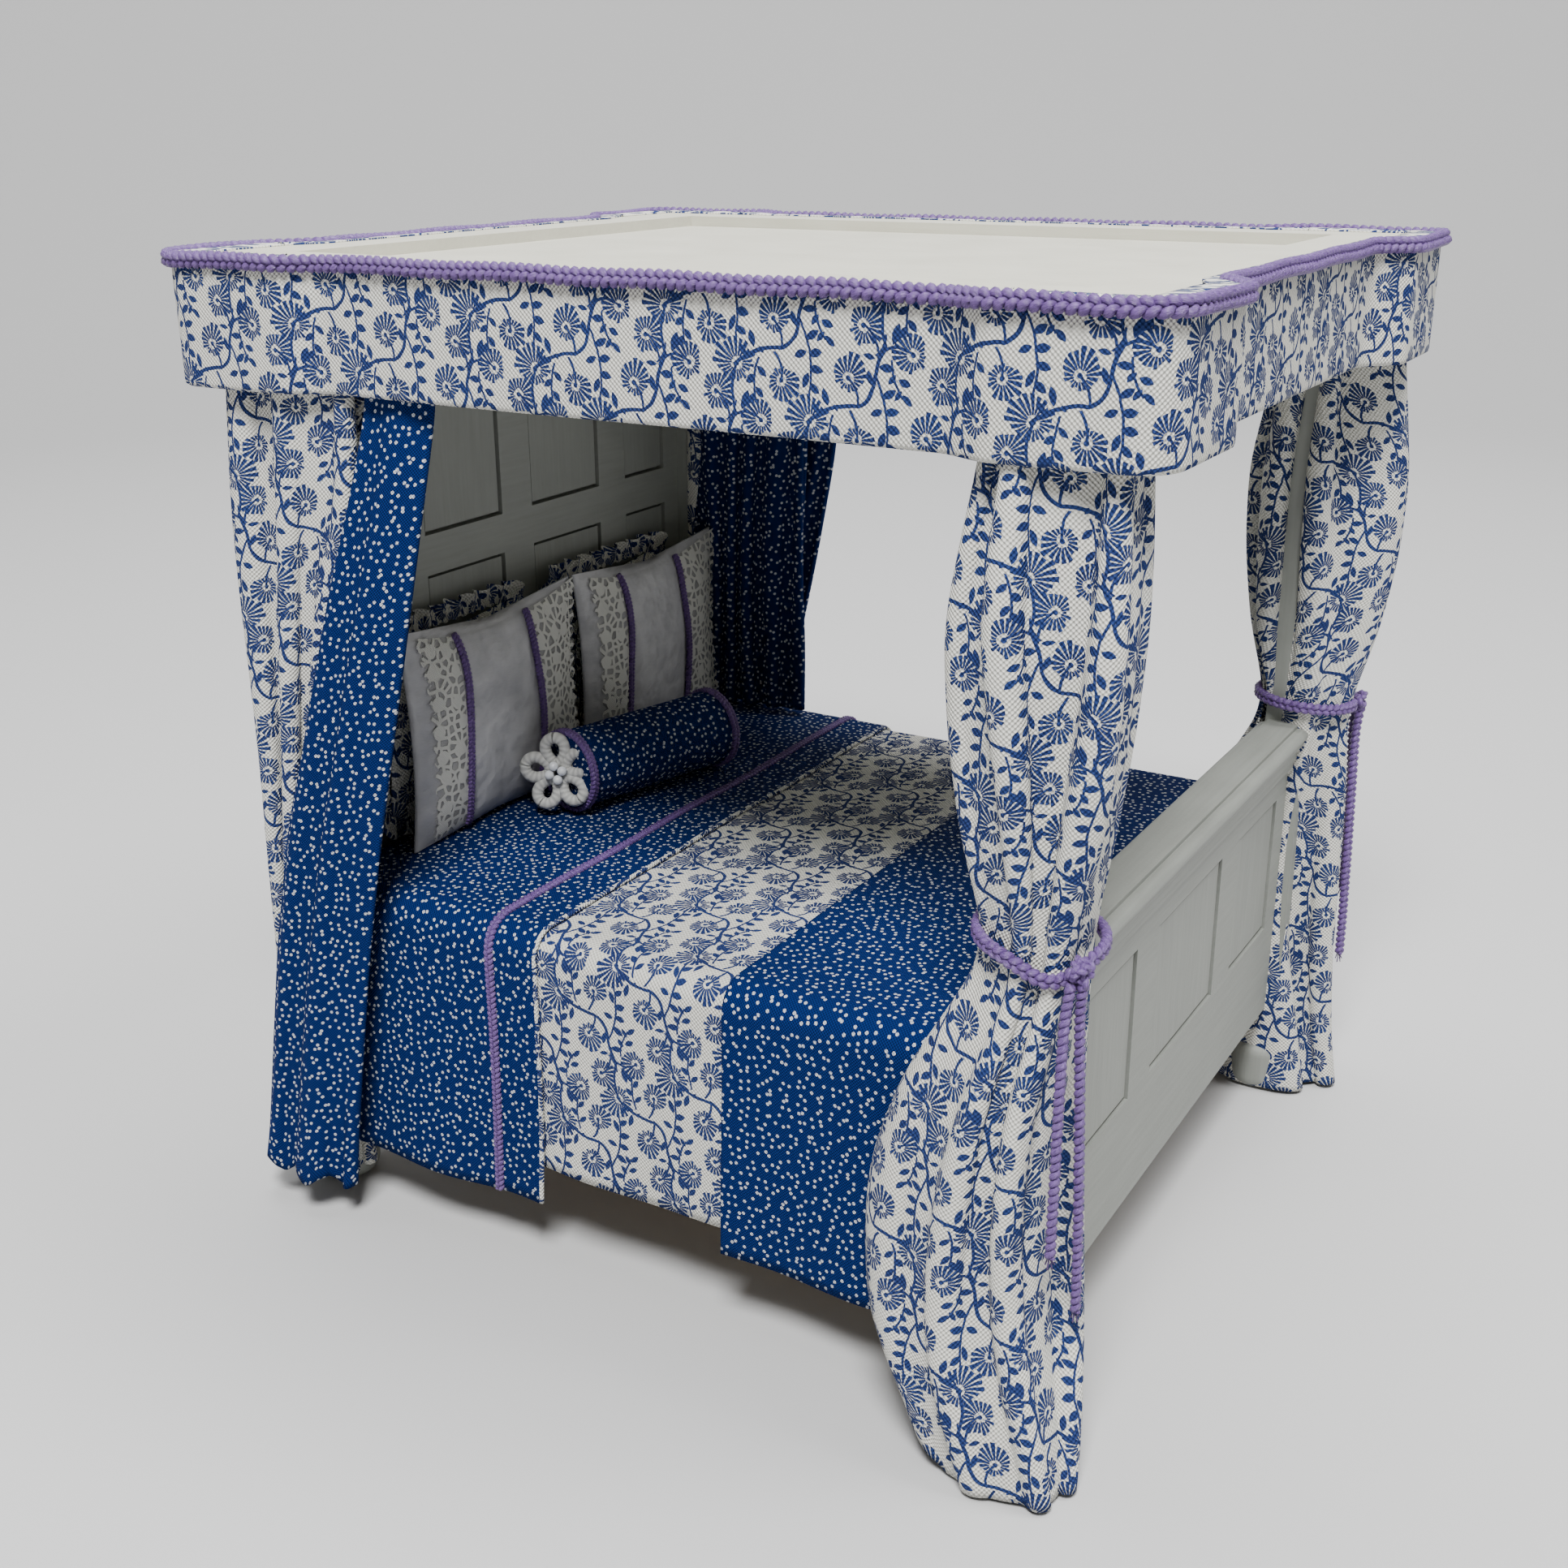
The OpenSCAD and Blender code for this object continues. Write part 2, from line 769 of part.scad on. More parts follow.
post_head_left();
post_head_right();
post_foot_left();
post_foot_right();
tester_dowels();
headboard_back();
headboard_frame();
headboard_panels();
footboard_back();
footboard_frame();
footboard_panels();
footboard_cap();
side_rail_left();
side_rail_right();
bed_base();
mattress();
tester_frame();
tester_panel();
pelmet_left();
pelmet_right();
pelmet_head();
pelmet_foot();
valance();
valance_braid();
bedspread();
runner();
turndown();
turndown_braid();
curtain_foot_left();
curtain_foot_right();
curtain_head_left();
curtain_head_right();
inner_curtain_left();
inner_curtain_right();
lining_left();
lining_right();
tieback_left();
tieback_right();
tie_knot_left();
tie_knot_right();
tie_tail_left_long();
tie_tail_left_short();
tie_tail_right_long();
tie_tail_right_short();
pillow_back_left();
pillow_back_right();
pillow_front_left();
pillow_front_right();
pillow_lace_left();
pillow_lace_right();
pillow_braid_left();
pillow_braid_right();
bolster();
bolster_braid();
bolster_flower();
bolster_beads();
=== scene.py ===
import math

import bpy
import numpy as np
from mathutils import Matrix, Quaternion, Vector


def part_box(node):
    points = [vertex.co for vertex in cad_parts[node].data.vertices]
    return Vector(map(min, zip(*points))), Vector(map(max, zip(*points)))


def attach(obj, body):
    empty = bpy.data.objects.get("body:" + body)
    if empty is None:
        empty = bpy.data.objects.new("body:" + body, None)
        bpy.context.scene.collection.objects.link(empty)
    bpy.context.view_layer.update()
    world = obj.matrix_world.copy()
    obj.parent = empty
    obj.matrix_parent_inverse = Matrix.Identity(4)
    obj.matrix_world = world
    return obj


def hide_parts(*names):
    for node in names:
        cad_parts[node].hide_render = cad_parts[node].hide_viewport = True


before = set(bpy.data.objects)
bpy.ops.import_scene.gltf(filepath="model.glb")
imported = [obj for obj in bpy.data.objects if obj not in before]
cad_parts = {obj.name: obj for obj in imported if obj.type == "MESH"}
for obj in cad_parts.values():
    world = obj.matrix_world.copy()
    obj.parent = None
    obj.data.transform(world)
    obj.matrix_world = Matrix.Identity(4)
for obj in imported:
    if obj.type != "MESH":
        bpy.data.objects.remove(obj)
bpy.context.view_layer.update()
mm = 0.001
tau = 2 * math.pi

# ---- camera, at the photo's angle ----
print("stage: camera")
cameraYaw, cameraPitch, cameraRoll = math.radians(59.54), math.radians(20.31), math.radians(0.23)
cameraData = bpy.data.cameras.new("camera")
cameraData.lens, cameraData.sensor_width = 41.83, 36
cameraData.clip_start, cameraData.clip_end = 0.01, 20
camera = bpy.data.objects.new("camera", cameraData)
camera.location = (-0.3319, -0.1818, 0.2259)
camera.rotation_mode = "QUATERNION"
level = math.cos(cameraPitch)
forward = Vector((math.sin(cameraYaw) * level, math.cos(cameraYaw) * level, -math.sin(cameraPitch)))
camera.rotation_quaternion = forward.to_track_quat("-Z", "Y") @ Quaternion((0, 0, 1), -cameraRoll)
bpy.context.scene.collection.objects.link(camera)
bpy.context.scene.camera = camera


# Lowest and highest corners of a CAD node, in millimetres
def boxOf(node):
    low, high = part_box(node)
    return np.array(low) / mm, np.array(high) / mm


# ---- meshes ----
class Builder:
    # Collects grids of points in millimetres, then makes one mesh of them

    def __init__(self):
        self.points, self.faces, self.uvs, self.count = [], [], [], 0

    def addFaces(self, corners, uvCorners):
        self.faces.append(corners + self.count)
        self.uvs.append(uvCorners)

    # Adds a grid of rows and columns; wrap joins the last column to the first, and uv then has one more column
    def grid(self, points, uv=None, wrap=False, caps=False, closed=False):
        rows, cols = points.shape[:2]
        if uv is None:
            uv = np.zeros((rows, cols + 1, 2))
        r = np.arange(rows - 1)[:, None]
        c = np.arange(cols if wrap else cols - 1)[None, :]
        nxt = (c + 1) % cols
        corners = np.stack([r * cols + c, r * cols + nxt, (r + 1) * cols + nxt, (r + 1) * cols + c], -1).reshape(-1, 4)
        uvIndex = [(r + up + 0 * c, c + over + 0 * r) for up, over in ((0, 0), (0, 1), (1, 1), (1, 0))]
        uvCorners = np.stack([uv[a, b] for a, b in uvIndex], -2).reshape(-1, 4, 2)
        flat = points.reshape(-1, 3)
        capRings = []
        if caps:
            capRings = [np.arange(cols)[::-1], (rows - 1) * cols + np.arange(cols)]
        if closed or caps:
            a, b, d, e = (flat[corners[:, i]] for i in range(4))
            volume = np.einsum("ij,ij->", a, np.cross(b, d)) + np.einsum("ij,ij->", a, np.cross(d, e))
            if volume < 0:
                corners, uvCorners = corners[:, ::-1], uvCorners[:, ::-1]
                capRings = [ring[::-1] for ring in capRings]
        self.addFaces(corners, uvCorners)
        for ring in capRings:
            middle = len(flat)
            flat = np.vstack([flat, flat[ring].mean(0)])
            fan = np.stack([ring, np.roll(ring, -1), np.full(cols, middle)], -1)
            rr, cc = ring // cols, ring % cols
            capUv = uv[rr, cc]
            self.addFaces(fan, np.stack([capUv, np.roll(capUv, -1, 0), np.repeat(capUv.mean(0)[None], cols, 0)], -2))
        self.points.append(flat)
        self.count += len(flat)
        return self

    def build(self, name, material, smooth=True):
        points = np.vstack(self.points) * mm
        loops = np.concatenate([f.reshape(-1) for f in self.faces])
        sizes = np.concatenate([np.full(len(f), f.shape[1]) for f in self.faces])
        starts = np.concatenate([[0], np.cumsum(sizes)[:-1]])
        mesh = bpy.data.meshes.new(name)
        mesh.vertices.add(len(points))
        mesh.vertices.foreach_set("co", points.astype(np.float32).reshape(-1))
        mesh.loops.add(len(loops))
        mesh.loops.foreach_set("vertex_index", loops.astype(np.int32))
        mesh.polygons.add(len(sizes))
        mesh.polygons.foreach_set("loop_start", starts.astype(np.int32))
        mesh.polygons.foreach_set("use_smooth", np.full(len(sizes), smooth))
        layer = mesh.uv_layers.new(name="cloth")
        uvs = np.concatenate([u.reshape(-1, 2) for u in self.uvs]) * mm
        layer.data.foreach_set("uv", uvs.astype(np.float32).reshape(-1))
        mesh.update(calc_edges=True)
        mesh.validate()
        mesh.materials.append(material)
        made = bpy.data.objects.new(name, mesh)
        bpy.context.scene.collection.objects.link(made)
        return made


def solidify(piece, thickness, offset=0):
    layer = piece.modifiers.new("thickness", "SOLIDIFY")
    layer.thickness, layer.offset = thickness * mm, offset
    layer.use_even_offset = False
    return piece


# Cumulative length along the rows of points, on the last but one axis
def lengthAlong(points, axis):
    step = np.linalg.norm(np.diff(points, axis=axis), axis=-1)
    first = np.zeros_like(np.take(step, [0], axis=axis))
    return np.concatenate([first, np.cumsum(step, axis=axis)], axis=axis)


# Sum of a few sine waves in two directions, from -1 to 1: a smooth random surface
def ripple(u, v, seed, count=5):
    rng = np.random.default_rng(seed)
    total = 0
    for _ in range(count):
        angle, turn, size = rng.uniform(0, tau), rng.uniform(0, tau), rng.uniform(0.6, 1.5)
        total = total + np.sin(size * (u * math.cos(angle) + v * math.sin(angle)) + turn)
    return total / count


# Points evenly spaced by length along a line of points
def resample(line, count):
    s = lengthAlong(line, 0)
    t = np.linspace(0, s[-1], count)
    return np.stack([np.interp(t, s, line[:, k]) for k in range(line.shape[1])], -1), t


# Smooth curve through points: straight steps, then averaged twice over a short window
def smoothLine(points, count, window=9):
    line, _ = resample(np.array(points, float), count)
    for _ in range(2):
        padded = np.pad(line, ((window // 2, window // 2), (0, 0)), mode="reflect", reflect_type="odd")
        kernel = np.ones(window) / window
        line = np.stack([np.convolve(padded[:, k], kernel, "valid") for k in range(line.shape[1])], -1)
    return line


# Unit tangents, sides and normals of a line, with the side nearest to a wanted direction
def framesOf(line, want, loop=False):
    if loop:
        tangent = np.roll(line, -1, 0) - np.roll(line, 1, 0)
    else:
        tangent = np.gradient(line, axis=0)
    tangent /= np.linalg.norm(tangent, axis=1)[:, None]
    want = np.broadcast_to(want, line.shape)
    side = want - (want * tangent).sum(1)[:, None] * tangent
    side /= np.linalg.norm(side, axis=1)[:, None]
    return tangent, side, np.cross(tangent, side)


# Three strands plaited along a line: strand k swings across by sin(p) and in depth by sin(2 p), p a third of a turn apart
def plait(builder, line, want, width, depth, strand, pitch, loop=False, perPeriod=14, sides=6):
    total = lengthAlong(line, 0)[-1] + (np.linalg.norm(line[0] - line[-1]) if loop else 0)
    periods = max(1, round(total / (3 * pitch)))
    count = max(8, int(periods * perPeriod))
    if loop:
        closed = np.vstack([line, line[:1]])
        dense, s = resample(closed, count + 1)
        dense, s = dense[:-1], s[:-1]
        if np.ndim(want) > 1:
            want = resample(np.vstack([want, want[:1]]), count + 1)[0][:-1]
    else:
        dense, s = resample(line, count)
        if np.ndim(want) > 1:
            want = resample(want, count)[0]
    tangent, side, normal = framesOf(dense, want, loop)
    phase = s / total * periods * tau
    a = np.linspace(0, tau, sides, endpoint=False)
    for k in range(3):
        p = phase + k * tau / 3
        centre = dense + side * ((width / 2 - strand) * np.sin(p))[:, None] + normal * (depth / 2 * np.sin(2 * p))[:, None]
        t2, s2, n2 = framesOf(centre, side, loop)
        puff = (strand * (0.62 + 0.56 * np.abs(np.sin(p)) ** 1.6))[:, None, None]
        ring = centre[:, None] + puff * (np.cos(a)[None, :, None] * s2[:, None] + np.sin(a)[None, :, None] * n2[:, None])
        along = np.broadcast_to(s[:, None], (count, sides + 1))
        around = np.broadcast_to(np.linspace(0, tau * strand, sides + 1)[None], (count, sides + 1))
        uv = np.stack([along, around], -1)
        if loop:
            ring = np.concatenate([ring, ring[:1]])
            uv = np.concatenate([uv, uv[:1]])
            builder.grid(ring, uv, wrap=True, closed=True)
        else:
            builder.grid(ring, uv, wrap=True, caps=True)
    return builder


# Round tube along a line: at each point, radius * (cos(a) * side + sin(a) * normal)
def tube(builder, line, radius, want=(0, 0, 1), sides=8, loop=False):
    t, s, n = framesOf(line, np.array(want, float), loop)
    a = np.linspace(0, tau, sides, endpoint=False)
    radius = np.broadcast_to(radius, (len(line),))[:, None, None]
    ring = line[:, None] + radius * (np.cos(a)[None, :, None] * s[:, None] + np.sin(a)[None, :, None] * n[:, None])
    length = lengthAlong(line, 0)
    uv = np.stack(np.broadcast_arrays(length[:, None], np.linspace(0, 6, sides + 1)[None]), -1)
    if loop:
        ring, uv = np.concatenate([ring, ring[:1]]), np.concatenate([uv, uv[:1]])
        return builder.grid(ring, uv, wrap=True, closed=True)
    return builder.grid(ring, uv, wrap=True, caps=True)


# ---- shaders ----
class Sock:
    # A shader value with arithmetic: each operation adds one Math or Vector Math node

    def __init__(self, shade, socket):
        self.shade, self.socket = shade, socket

    def math(self, operation, *others, clamp=False):
        values = {i: v for i, v in enumerate((self, *others))}
        return self.shade.node("ShaderNodeMath", {"operation": operation, "use_clamp": clamp}, values)

    def vector(self, operation, *others, out=0):
        values = {i: v for i, v in enumerate((self, *others))}
        return self.shade.node("ShaderNodeVectorMath", {"operation": operation}, values, out)

    def __add__(self, other): return self.math("ADD", other)
    def __radd__(self, other): return self.math("ADD", other)
    def __sub__(self, other): return self.math("SUBTRACT", other)
    def __rsub__(self, other): return (self * -1).math("ADD", other)
    def __mul__(self, other): return self.math("MULTIPLY", other)
    def __rmul__(self, other): return self.math("MULTIPLY", other)
    def __truediv__(self, other): return self.math("DIVIDE", other)
    def __pow__(self, other): return self.math("POWER", other)
    def __abs__(self): return self.math("ABSOLUTE")
    def sin(self): return self.math("SINE")
    def floor(self): return self.math("FLOOR")
    def fract(self): return self.math("FRACT")
    def high(self, other): return self.math("MAXIMUM", other)
    def low(self, other): return self.math("MINIMUM", other)
    def clip(self): return self.math("ADD", 0.0, clamp=True)
    def dot(self, other): return self.vector("DOT_PRODUCT", other, out=1)
    def minus(self, other): return self.vector("SUBTRACT", other)
    def plus(self, other): return self.vector("ADD", other)
    def scaled(self, by): return self.vector("MULTIPLY", (by, by, by))
    # 0 below and 1 above an edge that is "soft" wide
    def edge(self, soft): return ((self / soft) + 0.5).clip()


class Shade:
    # One material: node() adds a node, and the finishing methods set the shader's sockets

    def __init__(self, name):
        self.material = bpy.data.materials.new(name)
        self.material.use_nodes = True
        self.tree = self.material.node_tree
        self.shader = self.tree.nodes["Principled BSDF"]

    def put(self, target, value):
        if isinstance(value, Sock):
            self.tree.links.new(value.socket, target)
        elif hasattr(value, "__len__") and len(value) == 3 and len(getattr(target, "default_value", ())) == 4:
            target.default_value = (*value, 1)
        else:
            target.default_value = value

    def node(self, kind, settings=None, inputs=None, out=0):
        made = self.tree.nodes.new(kind)
        for key, value in (settings or {}).items():
            setattr(made, key, value)
        for key, value in (inputs or {}).items():
            self.put(made.inputs[key], value)
        return Sock(self, made.outputs[out])

    def mix(self, factor, a, b):
        return self.node("ShaderNodeMix", {"data_type": "RGBA"}, {0: factor, 6: a, 7: b}, 2)

    def place(self):
        return self.node("ShaderNodeTexCoord", out=3)

    def cloth(self):
        return self.node("ShaderNodeUVMap", {"uv_map": "cloth"}).scaled(1 / mm)

    def noise(self, where, scale, detail=2.0, rough=0.5, out=0):
        return self.node("ShaderNodeTexNoise", None, {"Vector": where, "Scale": scale, "Detail": detail, "Roughness": rough}, out)

    def cells(self, where, scale, chance, feature="F1"):
        return self.node("ShaderNodeTexVoronoi", {"voronoi_dimensions": "2D", "feature": feature},
                         {"Vector": where, "Scale": scale, "Randomness": chance})

    def bump(self, height, distance, strength=1.0):
        return self.node("ShaderNodeBump", None, {"Strength": strength, "Distance": distance * mm, "Height": height})

    def finish(self, **sockets):
        for name, value in sockets.items():
            self.put(self.shader.inputs[name.replace("_", " ")], value)
        return self.material


# Plain weave: threads cross at every pitch, so raised spots alternate like a chessboard
def weave(shade, cloth, pitch):
    k = tau / pitch
    return (cloth.dot((k, 0, 0)).sin() * cloth.dot((0, k, 0)).sin())


# Print of flowers, leaves and vines on a slanting lattice; the field is positive inside the ink, in millimetres
def floralField(shade, cloth):
    stepX, stepY, rise = 13.4, 28.0, 8.2
    lattice = shade.node("ShaderNodeCombineXYZ", None, {
        0: cloth.dot((1 / stepX, 0, 0)), 1: cloth.dot((-rise / (stepX * stepY), 1 / stepY, 0))})

    def around(x, y):
        at = (x / stepX, (y - rise * x / stepX) / stepY, 0)
        return lattice.minus(at).vector("WRAP", (0.5, 0.5, 0.5), (-0.5, -0.5, -0.5))

    def along(q, x, y):
        return q.dot((stepX * x + rise * y, stepY * y, 0))

    def leaf(base, tip, width):
        b, t = np.array(base, float), np.array(tip, float)
        d = t - b
        half = np.linalg.norm(d) / 2
        d /= 2 * half
        q = around(*((b + t) / 2))
        u = along(q, d[0] / half, d[1] / half)
        v = abs(along(q, -d[1], d[0]))
        return (1 - u * u) * width * 0.66 - v

    def arc(start, end, bulge, width):
        a, b = np.array(start, float), np.array(end, float)
        chord = b - a
        half = np.linalg.norm(chord) / 2
        d = chord / (2 * half)
        n = np.array([-d[1], d[0]])
        q = around(*((a + b) / 2))
        u, v = along(q, *d), along(q, *n)
        bow = (1 - u * u / (half * half)) * bulge
        return (width * 0.6 - abs(v - bow)).low(half + 0.1 - abs(u))

    def flower(x, y, radius, count, turn):
        q = around(x, y)
        u, v = along(q, 1, 0), along(q, 0, 1)
        r = (u * u + v * v) ** 0.5
        beam = v.math("ARCTAN2", u) * (count / tau) + turn
        chance = ((beam.floor() * 12.9 + x).sin() * 43.7).fract()
        spread = abs(beam.fract() - 0.5) * r * (tau / count)
        dash = (r * (0.36 / radius) + 0.045 - spread)
        reach = (u * math.cos(turn * 5) + v * math.sin(turn * 5)) / (r + 0.2) * (0.24 * radius) + 0.90 * radius
        dash = dash.low(reach - chance * (0.24 * radius) - r).low(r - chance * 0.25 - 0.15 * radius - 0.3)
        return dash.high(0.42 - r)

    parts = [
        flower(0, 0, 4.4, 22, 0.2), flower(4.0, -4.6, 3.8, 20, 0.6), flower(-4.4, -8.6, 3.8, 20, 0.1),
        flower(6.6, -12.6, 3.6, 19, 0.4), flower(5.1, -22.0, 3.4, 18, 0.8),
        arc((0.1, -0.2), (0.2, -7.7), 0.7, 0.44), arc((3.8, -4.5), (1.5, -8.3), -0.5, 0.38),
        arc((-4.2, -8.4), (1.6, -9.3), 1.3, 0.42), arc((0.2, -7.6), (2.1, -13.2), 0.35, 0.55),
        arc((2.1, -13.0), (5.2, -17.0), -0.8, 0.58), arc((5.1, -16.9), (13.9, -20.0), 0.9, 0.55),
        arc((6.6, -12.6), (4.9, -16.8), -0.5, 0.40), arc((5.1, -22.0), (6.3, -17.6), 0.5, 0.40),
        arc((1.8, -12.4), (0.2, -24.2), -1.1, 0.36), arc((9.3, -18.6), (9.9, -25.6), 0.5, 0.34),
        arc((0.2, -5.8), (1.9, -9.0), -0.4, 0.34), arc((-0.9, -9.6), (-2.8, -15.2), 0.5, 0.34),
        leaf((1.4, -10.7), (-1.4, -10.9), 0.95), leaf((0.8, -15.4), (-1.6, -14.0), 1.0), leaf((0.6, -17.2), (2.8, -18.0), 0.9),
        leaf((0.3, -17.6), (-2.2, -17.2), 1.05), leaf((0.1, -19.6), (-2.4, -20.3), 1.05), leaf((0.2, -20.4), (1.3, -23.0), 0.9),
        leaf((0.1, -22.0), (-1.8, -23.6), 0.95), leaf((2.5, -13.6), (3.3, -11.2), 0.8), leaf((10.2, -17.2), (11.0, -14.4), 0.9),
        leaf((9.2, -16.9), (8.4, -17.9), 0.5), leaf((11.6, -18.6), (12.9, -16.6), 0.8), leaf((9.6, -20.0), (7.9, -21.6), 0.8),
        leaf((9.8, -21.4), (11.7, -22.6), 0.95), leaf((9.9, -23.2), (8.5, -25.0), 0.85), leaf((9.9, -24.2), (11.4, -26.0), 0.85),
        leaf((-1.0, -7.2), (-2.1, -4.0), 1.15), leaf((2.0, -9.4), (4.1, -9.0), 0.65), leaf((-1.6, -11.6), (-0.3, -13.2), 0.75),
        leaf((-2.0, -12.4), (-4.1, -13.3), 0.9), leaf((-2.6, -14.0), (-1.3, -15.6), 0.7), leaf((-2.7, -14.6), (-4.4, -16.2), 0.8)]
    field = parts[0]
    for part in parts[1:]:
        field = field.high(part)
    return field


def floralCotton(name):
    sh = Shade(name)
    cloth = sh.cloth()
    wobble = sh.noise(cloth, 0.35, 1.0, out=1).minus((0.5, 0.5, 0.5)).scaled(0.5)
    field = floralField(sh, cloth.plus(wobble))
    threads = weave(sh, cloth, 0.86)
    ink = (field + 0.01 + threads * 0.035).edge(0.08)
    cloudy = sh.noise(cloth, 0.12, 2.0)
    paper = sh.mix((threads * 0.5 + 0.5), (0.48, 0.475, 0.43), (0.80, 0.79, 0.735))
    blue = sh.mix((threads * 0.35 + cloudy * 0.7), (0.003, 0.013, 0.085), (0.010, 0.040, 0.175))
    colour = sh.mix(ink * 0.98, paper, blue)
    return sh.finish(Base_Color=colour, Roughness=0.92, Normal=sh.bump(threads, 0.16), Specular_IOR_Level=0.10)


# Dots of pigment on dark cloth: the distance to the nearest scattered point, cut at the dot's radius
def dottedCotton(name):
    sh = Shade(name)
    cloth = sh.cloth()
    far = sh.cells(cloth, 0.56, 0.85)
    threads = weave(sh, cloth, 0.62)
    dot = (0.190 - far + threads * 0.008).edge(0.045)
    cloudy = sh.noise(cloth, 0.2, 2.0)
    base = sh.mix((threads * 0.5 + 0.5), (0.0008, 0.007, 0.050), (0.0025, 0.024, 0.150))
    light = sh.mix((threads * 0.35 + cloudy * 0.6), (0.50, 0.53, 0.58), (0.78, 0.79, 0.78))
    colour = sh.mix(dot * 0.93, base, light)
    return sh.finish(Base_Color=colour, Roughness=0.88, Normal=sh.bump(threads + dot * 0.4, 0.13), Specular_IOR_Level=0.10)


# Fine threads that run along each strand, in lavender
def braidSatin(name):
    sh = Shade(name)
    cloth = sh.cloth()
    fibre = sh.noise(cloth.vector("MULTIPLY", (1.2, 7.0, 1.0)), 1.6, 3.0)
    spots = sh.noise(cloth, 0.5, 2.0)
    colour = sh.mix((fibre * 2.2 - 0.75 + spots * 0.3).clip(), (0.032, 0.013, 0.080), (0.245, 0.140, 0.41))
    return sh.finish(Base_Color=colour, Roughness=0.30, Normal=sh.bump(fibre, 0.2), Specular_IOR_Level=0.45)


# Brushed paint over wood: long faint streaks along one axis, fine specks, and slightly worn tone
def paintedWood(name, dark, light, grain, roughness=0.55):
    sh = Shade(name)
    where = sh.place()
    streak = sh.noise(where.vector("MULTIPLY", grain), 1.0, 4.0, 0.6)
    cloud = sh.noise(where, 60.0, 3.0)
    fine = sh.noise(where, 1500.0, 2.0)
    colour = sh.mix((streak * 0.7 + cloud * 0.6 - 0.15).clip(), dark, light)
    height = streak * 0.6 + fine * 0.25
    return sh.finish(Base_Color=colour, Roughness=(roughness + (cloud - 0.5) * 0.25), Normal=sh.bump(height, 0.10))


# White satin with painted shade: its colours are held grey, from 0.30 to 0.56, as painted shade of the bed's shaded
# inside
def satinWithPaintedShade(name):
    sh = Shade(name)
    cloth = sh.cloth()
    thread = sh.noise(cloth.vector("MULTIPLY", (0.5, 9.0, 1.0)), 1.0, 2.0)
    crease = sh.noise(cloth, 0.16, 2.0)
    # painted shade: the colour is darkest where the crease bump sinks, so the creases carry painted shade; thread
    # streaks also vary it
    colour = sh.mix((thread * 0.5 + crease * 1.1 - 0.3).clip(), (0.30, 0.30, 0.315), (0.56, 0.56, 0.565))
    return sh.finish(Base_Color=colour, Roughness=0.32, Normal=sh.bump(thread * 0.12 + crease * 2.2, 0.6), Sheen_Weight=0.1)


# Net with rounded holes between thicker spots and a firm edge: alpha is the distance to the nearest cell border
def laceCloth(name):
    sh = Shade(name)
    cloth = sh.cloth()
    net = sh.cells(cloth, 0.46, 0.85, "DISTANCE_TO_EDGE")
    motif = sh.cells(cloth, 0.17, 0.5)
    thread = weave(sh, cloth, 0.5)
    solid = ((0.20 - net).edge(0.05)).high((0.28 - motif).edge(0.04))
    colour = sh.mix(thread * 0.3 + 0.5, (0.52, 0.52, 0.48), (0.72, 0.72, 0.67))
    return sh.finish(Base_Color=colour, Roughness=0.85, Alpha=(solid * 0.72 + 0.28).clip(), Normal=sh.bump(solid + thread * 0.2, 0.25))


def cordWhite(name):
    sh = Shade(name)
    cloth = sh.cloth()
    twist = (cloth.dot((5.2, 1.05, 0))).sin()
    fibre = sh.noise(cloth, 3.0, 2.0)
    colour = sh.mix(twist * 0.25 + 0.6, (0.34, 0.34, 0.33), (0.60, 0.60, 0.57))
    return sh.finish(Base_Color=colour, Roughness=0.7, Normal=sh.bump(twist * 0.5 + fibre * 0.8, 0.10))


def pearlBead(name):
    sh = Shade(name)
    where = sh.place()
    cloud = sh.noise(where, 500.0, 2.0)
    colour = sh.mix(cloud, (0.62, 0.65, 0.70), (0.86, 0.87, 0.88))
    return sh.finish(Base_Color=colour, Roughness=0.12, Coat_Weight=0.6, Normal=sh.bump(cloud, 0.02))


def tickingCloth(name):
    sh = Shade(name)
    cloth = sh.cloth()
    thread = weave(sh, cloth, 0.8)
    stripe = (abs(cloth.dot((1 / 6.0, 0, 0)).fract() - 0.5) * -1 + 0.06).edge(0.02)
    colour = sh.mix(stripe, sh.mix(thread * 0.4 + 0.5, (0.55, 0.54, 0.50), (0.78, 0.77, 0.73)), (0.30, 0.34, 0.42))
    return sh.finish(Base_Color=colour, Roughness=0.9, Normal=sh.bump(thread, 0.08))


def bareWood(name):
    sh = Shade(name)
    where = sh.place()
    rings = sh.noise(where.vector("MULTIPLY", (700.0, 40.0, 700.0)), 1.0, 5.0, 0.65)
    pore = sh.noise(where.vector("MULTIPLY", (3000.0, 120.0, 3000.0)), 1.0, 2.0)
    colour = sh.mix(rings * 0.8 + pore * 0.3 - 0.05, (0.36, 0.23, 0.12), (0.66, 0.50, 0.31))
    return sh.finish(Base_Color=colour, Roughness=0.7, Normal=sh.bump(rings + pore * 0.5, 0.12))


